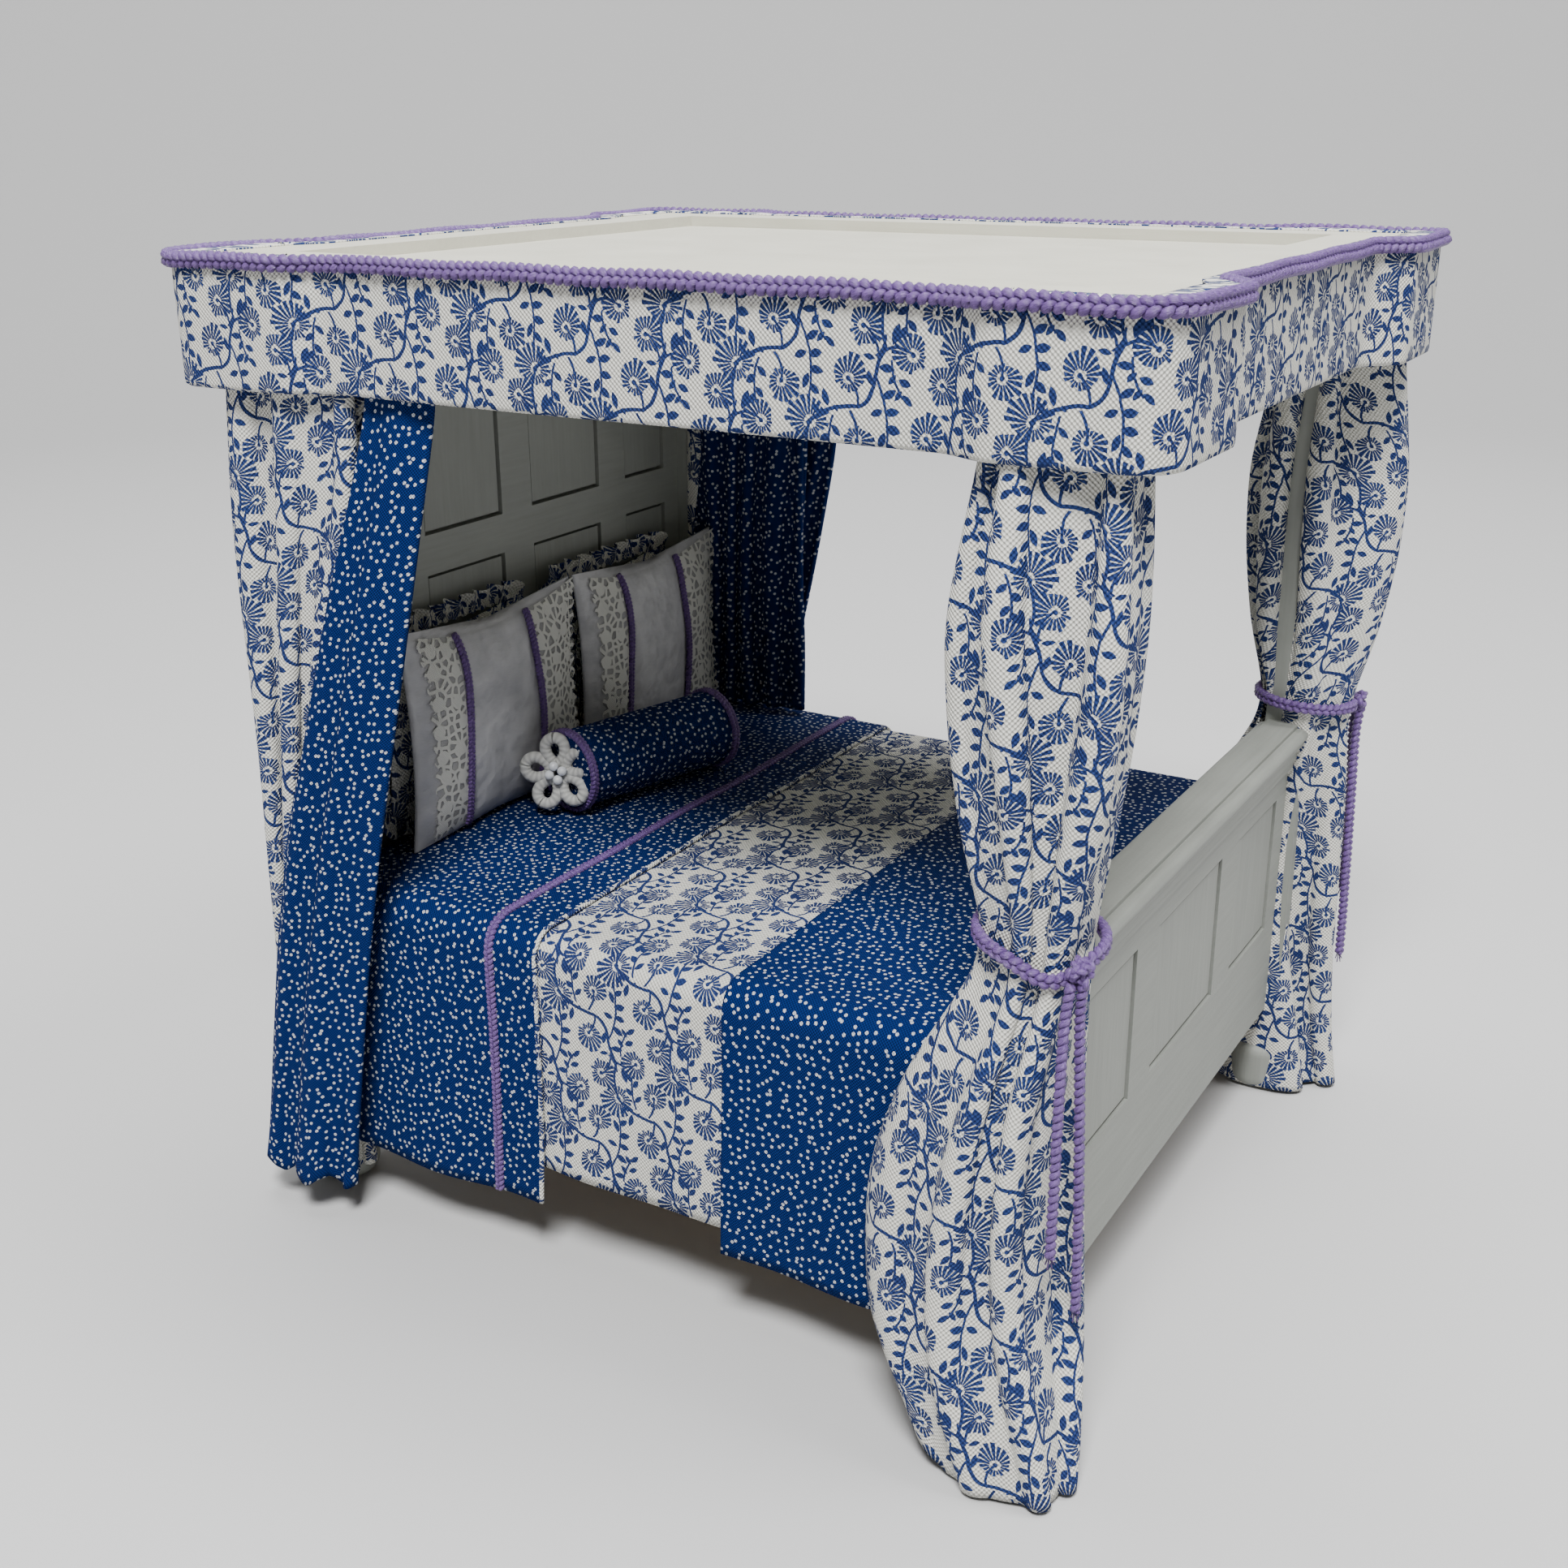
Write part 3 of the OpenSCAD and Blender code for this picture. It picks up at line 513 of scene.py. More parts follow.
print("stage: materials")
floral = floralCotton("floral cotton")
dotted = dottedCotton("dotted cotton")
braid = braidSatin("lavender braid")
satin = satinWithPaintedShade("white satin with painted shade")
lace = laceCloth("white lace")
whiteCord = cordWhite("white cord")
pearl = pearlBead("pearl beads")
ticking = tickingCloth("mattress ticking")
greyTones = (0.185, 0.195, 0.175), (0.29, 0.30, 0.275)
greyAlongX = paintedWood("grey paint, grain across", *greyTones, (60.0, 900.0, 900.0))
greyUpright = paintedWood("grey paint, grain upright", *greyTones, (900.0, 900.0, 60.0))
greyAlongY = paintedWood("grey paint, grain along", *greyTones, (900.0, 60.0, 900.0))
cream = paintedWood("cream paint", (0.44, 0.43, 0.355), (0.565, 0.555, 0.475), (900.0, 60.0, 900.0), 0.6)
plyWood = bareWood("bare wood")


def paintNode(names, material):
    for name in names:
        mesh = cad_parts[name].data
        mesh.materials.clear()
        mesh.materials.append(material)


posts = ["post_head_left", "post_head_right", "post_foot_left", "post_foot_right"]
paintNode(posts + ["headboard_panels", "footboard_panels"], greyUpright)
paintNode(["headboard_back", "headboard_frame", "footboard_back", "footboard_frame", "footboard_cap"], greyAlongX)
paintNode(["side_rail_left", "side_rail_right"], greyAlongY)
paintNode(["tester_frame", "tester_panel", "pelmet_left", "pelmet_right", "pelmet_head", "pelmet_foot"], cream)
paintNode(["bed_base", "tester_dowels"], plyWood)


# Finishes a soft piece: it rides on a body and stands for CAD nodes
def place(piece, body, nodes):
    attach(piece, body)
    if nodes:
        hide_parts(*nodes)
    return piece


# Copy of points mirrored in X, with its rows of columns reversed so that it still faces outwards
def mirrored(points):
    return points[..., ::-1, :] * np.array([-1, 1, 1])


# ---- tie tails: free cords, made before the rest ----
print("stage: cords")
tails = {
    "long": [(-83.2, -90.6, 95.4), (-82.8, -90.2, 90), (-82.6, -90.4, 85), (-82.5, -90.6, 80), (-82.4, -90.8, 75), (-82.3, -91, 70),
             (-82.2, -91.2, 65), (-82.2, -91.4, 60), (-82.1, -91.6, 55), (-82.1, -91.8, 50), (-82.1, -92, 45), (-82.1, -92.2, 39),
             (-82.1, -92.3, 33)],
    "short": [(-84.9, -89.2, 95.4), (-85.5, -88.7, 90), (-86.2, -88.8, 85), (-86.9, -89, 80), (-87.4, -89.2, 75), (-87.8, -89.3, 70),
              (-88.1, -89.5, 65), (-88.4, -89.6, 60), (-88.7, -89.7, 54), (-89, -89.8, 47)]}
farStep = np.array([0, -2.5, 0])  # the far foot curtain and its tie hang this much nearer the foot
bothSides = (("left", False), ("right", True))
for side, sign in (("left", 1), ("right", -1)):
    for which, route in tails.items():
        line = smoothLine(route, 90, 7) * np.array([sign, 1, 1]) + (farStep if sign < 0 else 0)
        s = lengthAlong(line, 0)
        sway = np.sin(s / 9 + (1 if which == "long" else 3))[:, None] * np.array([0.15, 0.1, 0]) * np.minimum(1, s / 8)[:, None]
        line = line + sway
        builder = plait(Builder(), line, np.array([1.0, 0.25 * sign, 0]), 2.4, 0.9, 0.56, 1.45, perPeriod=14, sides=7)
        # loose threads at the cut end
        rng = np.random.default_rng(4)
        for _ in range(7):
            spread = np.array([rng.uniform(-1.5, 1.5), rng.uniform(-1.2, 0.8), rng.uniform(-3.6, -1.8)])
            root = line[-1] + np.array([rng.uniform(-0.4, 0.4), rng.uniform(-0.4, 0.4), 0.4])
            t = np.linspace(0, 1, 7)[:, None]
            tube(builder, root + spread * t + np.array([0.5, 0, 0]) * np.sin(3 * t) * rng.uniform(-1, 1), 0.13, (1, 0, 0), 5)
        cord = builder.build(f"tail_{side}_{which}", braid)
        place(cord, "bed", [f"tie_tail_{side}_{which}"])
        path = line * mm

# ---- valance ----
print("stage: valance")


# Outline through corners, each turned with an arc of its own radius, going round anticlockwise
def filleted(corners, steps=9):
    pts = np.array([c[:2] for c in corners], float)
    radii = np.array([c[2] for c in corners], float)
    before, after = np.roll(pts, 1, 0) - pts, np.roll(pts, -1, 0) - pts
    before /= np.linalg.norm(before, axis=1)[:, None]
    after /= np.linalg.norm(after, axis=1)[:, None]
    half = np.arccos(np.clip((before * after).sum(1), -1, 1)) / 2
    reach = (radii / np.tan(half))[:, None]
    start, end = pts + before * reach, pts + after * reach
    t = np.linspace(0, 1, steps)[None, :, None]
    arc = (1 - t) ** 2 * start[:, None] + 2 * t * (1 - t) * pts[:, None] + t ** 2 * end[:, None]
    return arc.reshape(-1, 2)


# Outline of the tester: the corners of one quarter, mirrored in X and then in Y
def testerOutline():
    w, l = 85.5, 100.0
    quarter = [(81.5, 62.5, 4), (w, 70.5, 4), (w, l, 9), (56, l, 5), (47.5, 93, 5)]
    flip = [(-x, y, r) for x, y, r in quarter[::-1]]
    lower = [(-x, -y, r) for x, y, r in quarter] + [(x, -y, r) for x, y, r in quarter[::-1]]
    return filleted(quarter + flip + lower)


outline, outlineLength = resample(np.vstack([testerOutline(), testerOutline()[:1]]), 721)
outline, around = outline[:-1], outlineLength
tangent = np.roll(outline, -1, 0) - np.roll(outline, 1, 0)
tangent /= np.linalg.norm(tangent, axis=1)[:, None]
outward = np.stack([tangent[:, 1], -tangent[:, 0]], -1)
valanceLow, valanceHigh = boxOf("valance")
valanceFoot, valanceTop = valanceLow[2], valanceHigh[2] + 0.4
earness = np.clip((np.abs(outline[:, 0]) - 46) / 10, 0, 1) * np.clip((np.abs(outline[:, 1]) - 60) / 10, 0, 1)
flap = 1.8 + 4.2 * earness
# profile: a turned hem at the foot, up the face, over the top edge and in over the tester
profileOut = np.array([-1.4, -1.3, -0.6, -0.05, 0.1, 0.1, 0.1, 0.1, 0.1, 0.05, -0.15, -0.6])
profileUp = np.array([valanceFoot + 4.0, valanceFoot + 0.5, valanceFoot - 0.1, valanceFoot + 0.25, valanceFoot + 1,
                      valanceFoot + 5, valanceFoot + 10, valanceFoot + 15, valanceFoot + 20, valanceTop - 0.5, valanceTop + 0.1, valanceTop + 0.35])
flapSteps = np.array([0.35, 0.7, 1.0])
outs = np.concatenate([np.broadcast_to(profileOut[:, None], (12, 720)), -0.6 - flapSteps[:, None] * flap[None]])
ups = np.concatenate([np.broadcast_to(profileUp[:, None], (12, 720)), valanceTop + 0.4 - flapSteps[:, None] * 0.1 + 0 * flap[None]])
face = np.clip(1 - np.abs(np.arange(15) - 6.5) / 4, 0, 1)[:, None]
outs = outs + face * 0.28 * ripple(around[None, :-1] / 9, ups / 6, 3)
hemWave = 0.22 * ripple(around[:-1] / 11, 0 * around[:-1], 8)
ups = ups + hemWave[None] * np.clip((valanceFoot + 6 - ups) / 6, 0, 1)
points = np.concatenate([outline[None] + outward[None] * outs[..., None], ups[..., None]], -1)
vertical = np.concatenate([[0], np.cumsum(np.hypot(np.diff(outs[:, 0]), np.diff(ups[:, 0])))])
uv = np.stack(np.broadcast_arrays(-around[None, :], vertical[:, None] + 3.1), -1)
valance = solidify(Builder().grid(points, uv, wrap=True).build("valance_cloth", floral), 0.35, -1)
place(valance, "bed", ["valance"])

braidLine = np.concatenate([outline + outward * 0.75, np.full((720, 1), valanceTop - 0.55) + 0.12 * np.sin(around[:-1, None] / 5)], -1)
braidWant = np.concatenate([outward * 0.45, np.full((720, 1), -0.9)], -1)
place(plait(Builder(), braidLine, braidWant, 3.2, 1.2, 0.72, 1.85, loop=True, perPeriod=14, sides=7).build("valance_plait", braid),
      "bed", ["valance_braid"])

# ---- covers ----
print("stage: covers")
spreadLow, spreadHigh = boxOf("bedspread")
coverHalf, coverTop = spreadHigh[0], spreadHigh[2]


# Sheet over the bed: across, it climbs one side from its hem, turns over a round edge, crosses the top and goes down the other
def cover(name, material, yLow, yHigh, lift, hem, seed, radius=5.0, flare=1.2, rows=90, wave=0.5):
    half, top = coverHalf + lift, coverTop + lift
    a = np.linspace(0, math.pi / 2, 9)
    side = np.stack([np.full(22, half), np.linspace(hem, top - radius, 22)], -1)
    turn = np.stack([half - radius + radius * np.cos(a), top - radius + radius * np.sin(a)], -1)[1:]
    flat = np.stack([np.linspace(half - radius, -half + radius, 60), np.full(60, top)], -1)[1:]
    other = np.concatenate([turn[::-1], side[::-1]])[1:] * np.array([-1, 1])
    section = np.concatenate([side, turn, flat, other])
    across = lengthAlong(section, 0)
    y = np.linspace(yLow, yHigh, rows)
    x = np.broadcast_to(section[:, 0], (rows, len(section))).copy()
    z = np.broadcast_to(section[:, 1], (rows, len(section))).copy()
    yy = np.broadcast_to(y[:, None], x.shape).copy()
    onSide = np.clip((top - radius - z) / (top - radius - hem), 0, 1)
    sign = np.sign(x)
    x += sign * onSide * (flare + wave * 1.2 * np.sin(yy / 5.5 + seed) * onSide + 0.5 * ripple(yy / 7, z / 9, seed + 5))
    onTop = np.clip((z - top + radius) / radius, 0, 1)
    z += onTop * wave * 0.7 * ripple(x / 11, yy / 11, seed)
    z -= onSide ** 3 * 0.8 * ripple(yy / 8, sign * 3, seed + 2)
    yy += 0.5 * ripple(x / 14 + z / 10, 0 * x, seed + 7) * np.where(np.arange(rows)[:, None] < rows - 8, 1, 0.4)
    points = np.stack([x, yy, z], -1)
    uv = np.stack(np.broadcast_arrays(y[:, None] + 7, across[None] + 4), -1)
    made = Builder().grid(points, uv).build(name, material)
    return solidify(made, 0.5, -1), points, float(across[-1])


bedspread, _, spreadAcross = cover("bedspread_cloth", floral, spreadLow[1], spreadHigh[1], 0.0, spreadLow[2] + 1, 11)
place(bedspread, "bed", ["bedspread"])

runnerLow, runnerHigh = boxOf("runner")
runner, _, runnerAcross = cover("runner_cloth", dotted, runnerLow[1], runnerHigh[1], 0.9, runnerLow[2] + 1, 11, 5.6, 1.6)
place(runner, "bed", ["runner"])

turnLow, turnHigh = boxOf("turndown")
turndown, turnPoints, turnAcross = cover("turndown_cloth", dotted, turnLow[1], turnHigh[1], 1.0, turnLow[2] + 1, 11, 5.6, 1.8)
place(turndown, "bed", ["turndown"])

# rolled edge of the turn-down, where its lining shows
edge = turnPoints[0]
edgeLine, edgeS = resample(edge, 200)
outOf = framesOf(edgeLine, np.array([0, 1.0, 0]))
a = np.linspace(0, tau, 8, endpoint=False)
roll = edgeLine[:, None] + (np.cos(a) * 0.75)[None, :, None] * outOf[1][:, None] + (np.sin(a) * 0.5)[None, :, None] * outOf[2][:, None]
roll = roll + np.array([0, 0.2, 0]) * ripple(edgeS / 4, 0 * edgeS, 5)[:, None, None]
rollUv = np.stack(np.broadcast_arrays(edgeS[:, None], np.linspace(0, 4, 9)[None] + 3), -1)
edging = Builder().grid(roll, rollUv, wrap=True, caps=True).build("turndown_lining", floral)
place(edging, "bed", [])

# braid across the turn-down and down both its sides
braidY = 36.5
k = int(round((braidY - turnLow[1]) / (turnHigh[1] - turnLow[1]) * 89))
under = turnPoints[k]
lift = np.stack([np.sign(under[:, 0]) * (np.abs(under[:, 0]) > 71.5), 0 * under[:, 0], 1.0 * (under[:, 2] > 69)], -1)
lift /= np.linalg.norm(lift, axis=1)[:, None]
line = under + lift * 0.7
place(plait(Builder(), line, np.array([0, 1.0, 0]), 2.1, 0.7, 0.46, 1.2, perPeriod=12).build("turndown_plait", braid),
      "bed", ["turndown_braid"])

# ---- curtains ----
print("stage: curtains")


# Smooth columns of a table at the heights z: straight steps between rows, then a running average
def tableAt(table, z):
    rows = np.array(table, float)
    out = []
    for k in range(1, rows.shape[1]):
        value = np.interp(z, rows[:, 0], rows[:, k])
        width = max(3, len(z) // 14) | 1
        padded = np.pad(value, width // 2, mode="reflect", reflect_type="odd")
        out.append(np.convolve(padded, np.ones(width) / width, "valid"))
    return out


# Gathered curtain: at each height the ellipse (rx cos t, ry sin t), moved along its normal by depth * size * (cos q + 0.22 cos(2 q + 0.6))
# and along itself by 0.42 * depth * size * sin 2 q, with q near folds * t; its print follows the cloth's own length
def gathered(table, folds, seed, span=(0.0, tau), rows=130, cols=260, hem=None):
    z = np.linspace(table[0][0], table[-1][0], rows)
    cx, cy, rx, ry, depth = (v[:, None] for v in tableAt(table, z))
    t = np.linspace(*span, cols)[None]
    rng = np.random.default_rng(seed)
    p = rng.uniform(0, tau, 6)
    zz = z[:, None]
    drift = 0.35 * np.sin(t * 2 + p[0] + zz / 60) + 0.22 * np.sin(t * 3 + p[1] - zz / 45) + 0.12 * np.sin(5 * t + p[2] + zz / 25)
    q = folds * (t + drift * 0.55) + p[3] + 0.25 * np.sin(zz / 22 + p[5])
    size = 0.72 + 0.28 * np.sin(2 * t + p[4] + zz / 50)
    out = depth * size * (np.cos(q) + 0.22 * np.cos(2 * q + 0.6))
    swing = depth * size * 0.42 * np.sin(2 * q)
    nx, ny = np.cos(t) / rx, np.sin(t) / ry
    norm = np.hypot(nx, ny)
    nx, ny = nx / norm, ny / norm
    x = cx + rx * np.cos(t) + nx * out - ny * swing
    y = cy + ry * np.sin(t) + ny * out + nx * swing
    h = np.broadcast_to(zz, x.shape).copy()
    if hem is not None:
        low = np.clip((30 - zz) / 30, 0, 1) ** 2
        h = h + low * hem(x, y)
    points = np.stack([x, y, h], -1)
    s = lengthAlong(points, 1)
    s = s - s[:, cols // 2][:, None]
    uv = np.stack([s, np.broadcast_to(zz, s.shape)], -1)
    return points, uv


# Makes one curtain from a gathered surface; no point is lower than 0.3, and its flat width is the middle value of its rows' lengths
def curtainPiece(name, points, uv, material, nodes, mirror=False, thick=0.45):
    if mirror:
        points, uv = mirrored(points), uv[:, ::-1] * np.array([-1, 1])
    points = points.copy()
    points[..., 2] = np.maximum(points[..., 2], 0.3)
    made = solidify(Builder().grid(points, uv).build(name, material), thick, 0)
    place(made, "bed", nodes)
    width = float(np.median(uv[:, :, 0].max(1) - uv[:, :, 0].min(1)))
    float(uv[-1, 0, 1] - uv[0, 0, 1]) * mm
    return made


upperFoot = [
    (88, -75.6, -78.4, 8.7, 9.8, 1.3), (96, -75, -79.8, 8.3, 8.5, 1.0), (103, -75.2, -79.7, 8.6, 9.4, 1.4), (114, -75.8, -79.4, 9.2, 12, 2.2),
    (132, -76.3, -79.2, 9.8, 14.4, 2.8), (150, -76.5, -79, 9.8, 15.4, 2.9), (166, -75.6, -79.6, 8.8, 13.8, 2.5), (176, -74.9, -80, 7.9, 12.6, 1.9),
    (194, -74.6, -80, 7.6, 11.6, 1.4)]
footTable = {
    "left": [(0.6, -88.2, -79.5, 6.8, 13.6, 1.7), (8, -87, -77.8, 8.4, 15, 2.1), (17, -84.6, -75.2, 10.4, 16.2, 2.6), (28, -81.6, -72.8, 12.2, 16.8, 2.9),
             (40, -80, -71.8, 12.2, 16.6, 3.0), (52, -79.4, -71.9, 11.9, 16, 2.9), (68, -78.5, -73.5, 11, 14.2, 2.5), (80, -77, -76.2, 9.7, 12, 1.9)],
    "right": [(0.6, -81, -72, 15.4, 19.6, 2.0), (12, -80.8, -71.8, 13.8, 18.2, 2.4), (33, -80.2, -71.7, 12.6, 17, 2.8), (49, -79.6, -71.8, 12.2, 16.2, 2.9),
              (68, -78.5, -73.5, 11, 14.4, 2.5), (80, -77, -76.2, 9.7, 12, 1.9)]}
footLook = {
    "left": {"seed": 21, "toward": (-0.7, -0.72), "flare": 3.2, "rise": 19.0},
    "right": {"seed": 33, "toward": (0.2, -0.9), "flare": 3.0, "rise": 6.0}}


# Hem of a foot curtain: 0.4 + rise * clip((y + 74) / 17, 0, 1) ** 1.3, so it rises away from the foot end
def footHemOf(rise):
    return lambda x, y: 0.4 + rise * np.clip((y + 74) / 17, 0, 1) ** 1.3


for side, flipSide in bothSides:
    look = footLook[side]
    pts, uv = gathered(footTable[side] + upperFoot, 6, look["seed"], (0.28 * math.pi, 2.24 * math.pi), hem=footHemOf(look["rise"]))
    toward = np.array(look["toward"])
    away = pts[..., :2] - np.array([-80, -73])
    facing = np.clip((away * toward).sum(-1) / np.linalg.norm(away, axis=-1) * 1.6 - 0.6, 0, 1)
    pts[..., :2] += (toward * look["flare"]) * (facing * np.clip((34 - pts[..., 2]) / 34, 0, 1) ** 1.4)[..., None]
    if flipSide:
        pts = pts + farStep
    curtainPiece(f"foot_curtain_{side}", pts, uv, floral, [f"curtain_foot_{side}"], flipSide)

headTable = [
    (5.0, -74.5, 87, 7.4, 9.0, 1.6), (40, -74.8, 87, 6.4, 8.5, 1.8), (80, -75.0, 85, 6.2, 8.8, 2.0), (100, -75.4, 82.5, 6.0, 10.5, 2.1),
    (118, -75.8, 80.5, 5.8, 12, 2.3), (138, -76.0, 78.5, 5.6, 14.2, 2.4), (154, -76.0, 77, 5.4, 15.6, 2.4), (174, -75.9, 75.5, 5.3, 15.2, 2.2),
    (194, -75.6, 76, 5.0, 14.5, 1.8)]
for side, flipSide in bothSides:
    pts, uv = gathered(headTable, 7, 5 if side == "left" else 9, (0.02 * math.pi, 1.98 * math.pi))
    curtainPiece(f"head_curtain_{side}", pts, uv, floral, [f"curtain_head_{side}"], flipSide)

innerTable = [
    (9, -85.6, 84, 4.0, 12.6, 1.3), (16, -85.2, 83.2, 3.4, 12.4, 1.3), (26, -84.8, 81.8, 3.0, 12.4, 1.0), (60, -83.8, 76.5, 2.6, 12.4, 0.7), (88, -83.4, 70.5, 2.4, 12, 0.6),
    (113, -82.8, 63.5, 2.2, 10.8, 0.6), (141, -81.6, 56, 2.0, 9.4, 0.5), (160, -79.6, 51.5, 1.8, 7.9, 0.5), (176, -76.8, 49.2, 1.7, 7.3, 0.5), (194, -76.2, 49, 1.7, 7.3, 0.5)]


# Hem of an inner curtain: 2.2 sin(0.75 y + 0.8) - 0.8
def innerHem(x, y):
    return 2.2 * np.sin(y * 0.75 + 0.8) - 0.8


for side, flipSide in bothSides:
    pts, uv = gathered(innerTable, 5, 13 if side == "left" else 17, (0.02 * math.pi, 1.98 * math.pi), hem=innerHem)
    curtainPiece(f"inner_curtain_{side}_cloth", pts, uv, dotted, [f"inner_curtain_{side}"], flipSide)

# lining on the sleeper's side: the near edge of a soft fold, hung from the tester down to the covers
liningTable = {
    "left": [(76, -68.8, 78, 1.6, 3.8, 0.7), (94, -68.7, 75.8, 1.6, 6.0, 0.8), (113, -68.7, 73.5, 1.5, 8.2, 1.0), (141, -68.5, 69.8, 1.4, 11.8, 1.2),
             (160, -68.4, 67.8, 1.3, 13.8, 1.2), (176, -68.4, 66, 1.2, 15.6, 1.2), (194, -68.5, 65.2, 1.4, 16.4, 1.2)],
    "right": [(76, -68.8, 64.6, 1.6, 16.0, 1.5), (110, -68.6, 64.4, 1.4, 16.4, 1.5), (150, -68.4, 64, 1.2, 16.8, 1.4), (176, -68.4, 63, 1.2, 17.2, 1.3),
              (194, -68.5, 63, 1.4, 16.6, 1.2)]}
for side, flipSide in bothSides:
    pts, uv = gathered(liningTable[side], 9 if side == "left" else 11, 23 if side == "left" else 27, (0.52 * math.pi, 2.48 * math.pi), rows=90)
    curtainPiece(f"lining_{side}_cloth", pts, uv, dotted, [f"lining_{side}"], flipSide)

# tie loops and knots
for side, sign in (("left", 1), ("right", -1)):
    t = np.linspace(0, tau, 160, endpoint=False)
    sag = np.exp(-(((t - math.radians(212)) / math.radians(30)) ** 2))
    loop = np.stack([-75 + 10.5 * np.cos(t), -79.8 + 10.7 * np.sin(t), 98.6 - 0.8 * np.cos(t - math.radians(237)) - 3.2 * sag], -1)
    loop = loop * np.array([sign, 1, 1]) + (farStep if sign < 0 else 0)
    place(plait(Builder(), loop, np.array([0, 0, 1.0]), 2.6, 0.9, 0.62, 1.6, loop=True, perPeriod=14, sides=7).build(f"tie_loop_{side}", braid),
          "bed", [f"tieback_{side}"])
    k = np.linspace(0, tau, 90, endpoint=False)
    knot = np.stack([np.sin(k) + 2 * np.sin(2 * k), np.cos(k) - 2 * np.cos(2 * k), -1.4 * np.sin(3 * k)], -1) * 0.74
    knot = knot[:, [0, 2, 1]] + np.array([-82.8, -89.9, 96.8])
    knot = knot * np.array([sign, 1, 1]) + (farStep if sign < 0 else 0)
    place(plait(Builder(), knot, np.array([0, 1.0, 0.3]), 1.9, 0.8, 0.5, 1.2, loop=True, perPeriod=12).build(f"tie_knot_{side}_turns", braid),
          "bed", [f"tie_knot_{side}"])

# ---- mattress ----
print("stage: mattress and pillows")


# Rounded box: a superellipse outline in plan at each height, drawn in at the top and bottom edges
def roundedSlab(low, high, edge, rows=24, cols=160):
    mid, half = (low + high) / 2, (high - low) / 2
    t = np.linspace(0, tau, cols, endpoint=False)[None]
    a = np.linspace(-math.pi / 2, math.pi / 2, rows)[:, None]
    inset = edge * (1 - np.cos(a))
    z = mid[2] + np.sign(a) * (half[2] - edge) + edge * np.sin(a)
    power = 0.16
    x = mid[0] + (half[0] - inset) * np.sign(np.cos(t)) * np.abs(np.cos(t)) ** power
    y = mid[1] + (half[1] - inset) * np.sign(np.sin(t)) * np.abs(np.sin(t)) ** power
    points = np.stack(np.broadcast_arrays(x, y, z), -1)
    uv = points[..., :2] + points[..., 2:] * 0.7
    return points, np.concatenate([uv, uv[:, :1]], 1)


mattLow, mattHigh = boxOf("mattress")
slab, slabUv = roundedSlab(mattLow + 0.3, mattHigh - 0.3, 4.0)
mattress = Builder().grid(slab, slabUv, wrap=True, caps=True).build("mattress_pad", ticking)
place(mattress, "bed", ["mattress"])


braidAt = 0.43  # where the two braids cross a pillow, as a share of its half width


# Stuffed pillow: crown from both faces, corners drawn out, edges drawn in, soft creases, and a dip under each braid
def pillowFace(u, v, w, h, t, seed):
    x = w / 2 * u * (1 - 0.085 * (1 - v * v) * np.abs(u))
    z = h / 2 * v * (1 - 0.085 * (1 - u * u) * np.abs(v)) - 1.2 * (1 - u * u) * (1 + v)
    crown = np.clip((1 - np.abs(u) ** 2.6), 0, 1) ** 0.62 * np.clip((1 - np.abs(v) ** 2.6), 0, 1) ** 0.62
    crease = 0.34 * ripple(u * 4.4, v * 6, seed) + 0.22 * ripple(u * 9 + v * 4, v * 3, seed + 1)
    dip = 0.75 * np.exp(-((np.abs(u) - braidAt) / 0.09) ** 2)
    return x, z, crown * (t / 2 + crease - dip)


# Front and back of a pillow: its face moved out by y + 0.25 each way, so that the seam is 0.5 thick
def pillow(w, h, t, seed, grid=70):
    u = np.linspace(-1, 1, grid)
    uu, vv = np.meshgrid(u, u)
    x, z, y = pillowFace(uu, vv, w, h, t, seed)
    front = np.stack([x, -y - 0.25, z], -1)
    back = np.stack([x, y + 0.25, z], -1)
    return front, back


# Stands a piece up where its CAD node leans
def lean(points, angle, at):
    c, s = math.cos(angle), math.sin(angle)
    x, y, z = points[..., 0], points[..., 1], points[..., 2]
    return np.stack([x, y * c + z * s, z * c - y * s], -1) + at


# Joins both faces ring by ring: front from left to right, then back from right to left
def closedPillow(front, back, builder):
    both = np.concatenate([front, back[:, ::-1]], 1)
    uv = np.concatenate([front[..., [0, 2]], back[:, ::-1][..., [0, 2]], front[:, :1][..., [0, 2]]], 1)
    return builder.grid(both, uv, wrap=True, caps=True)


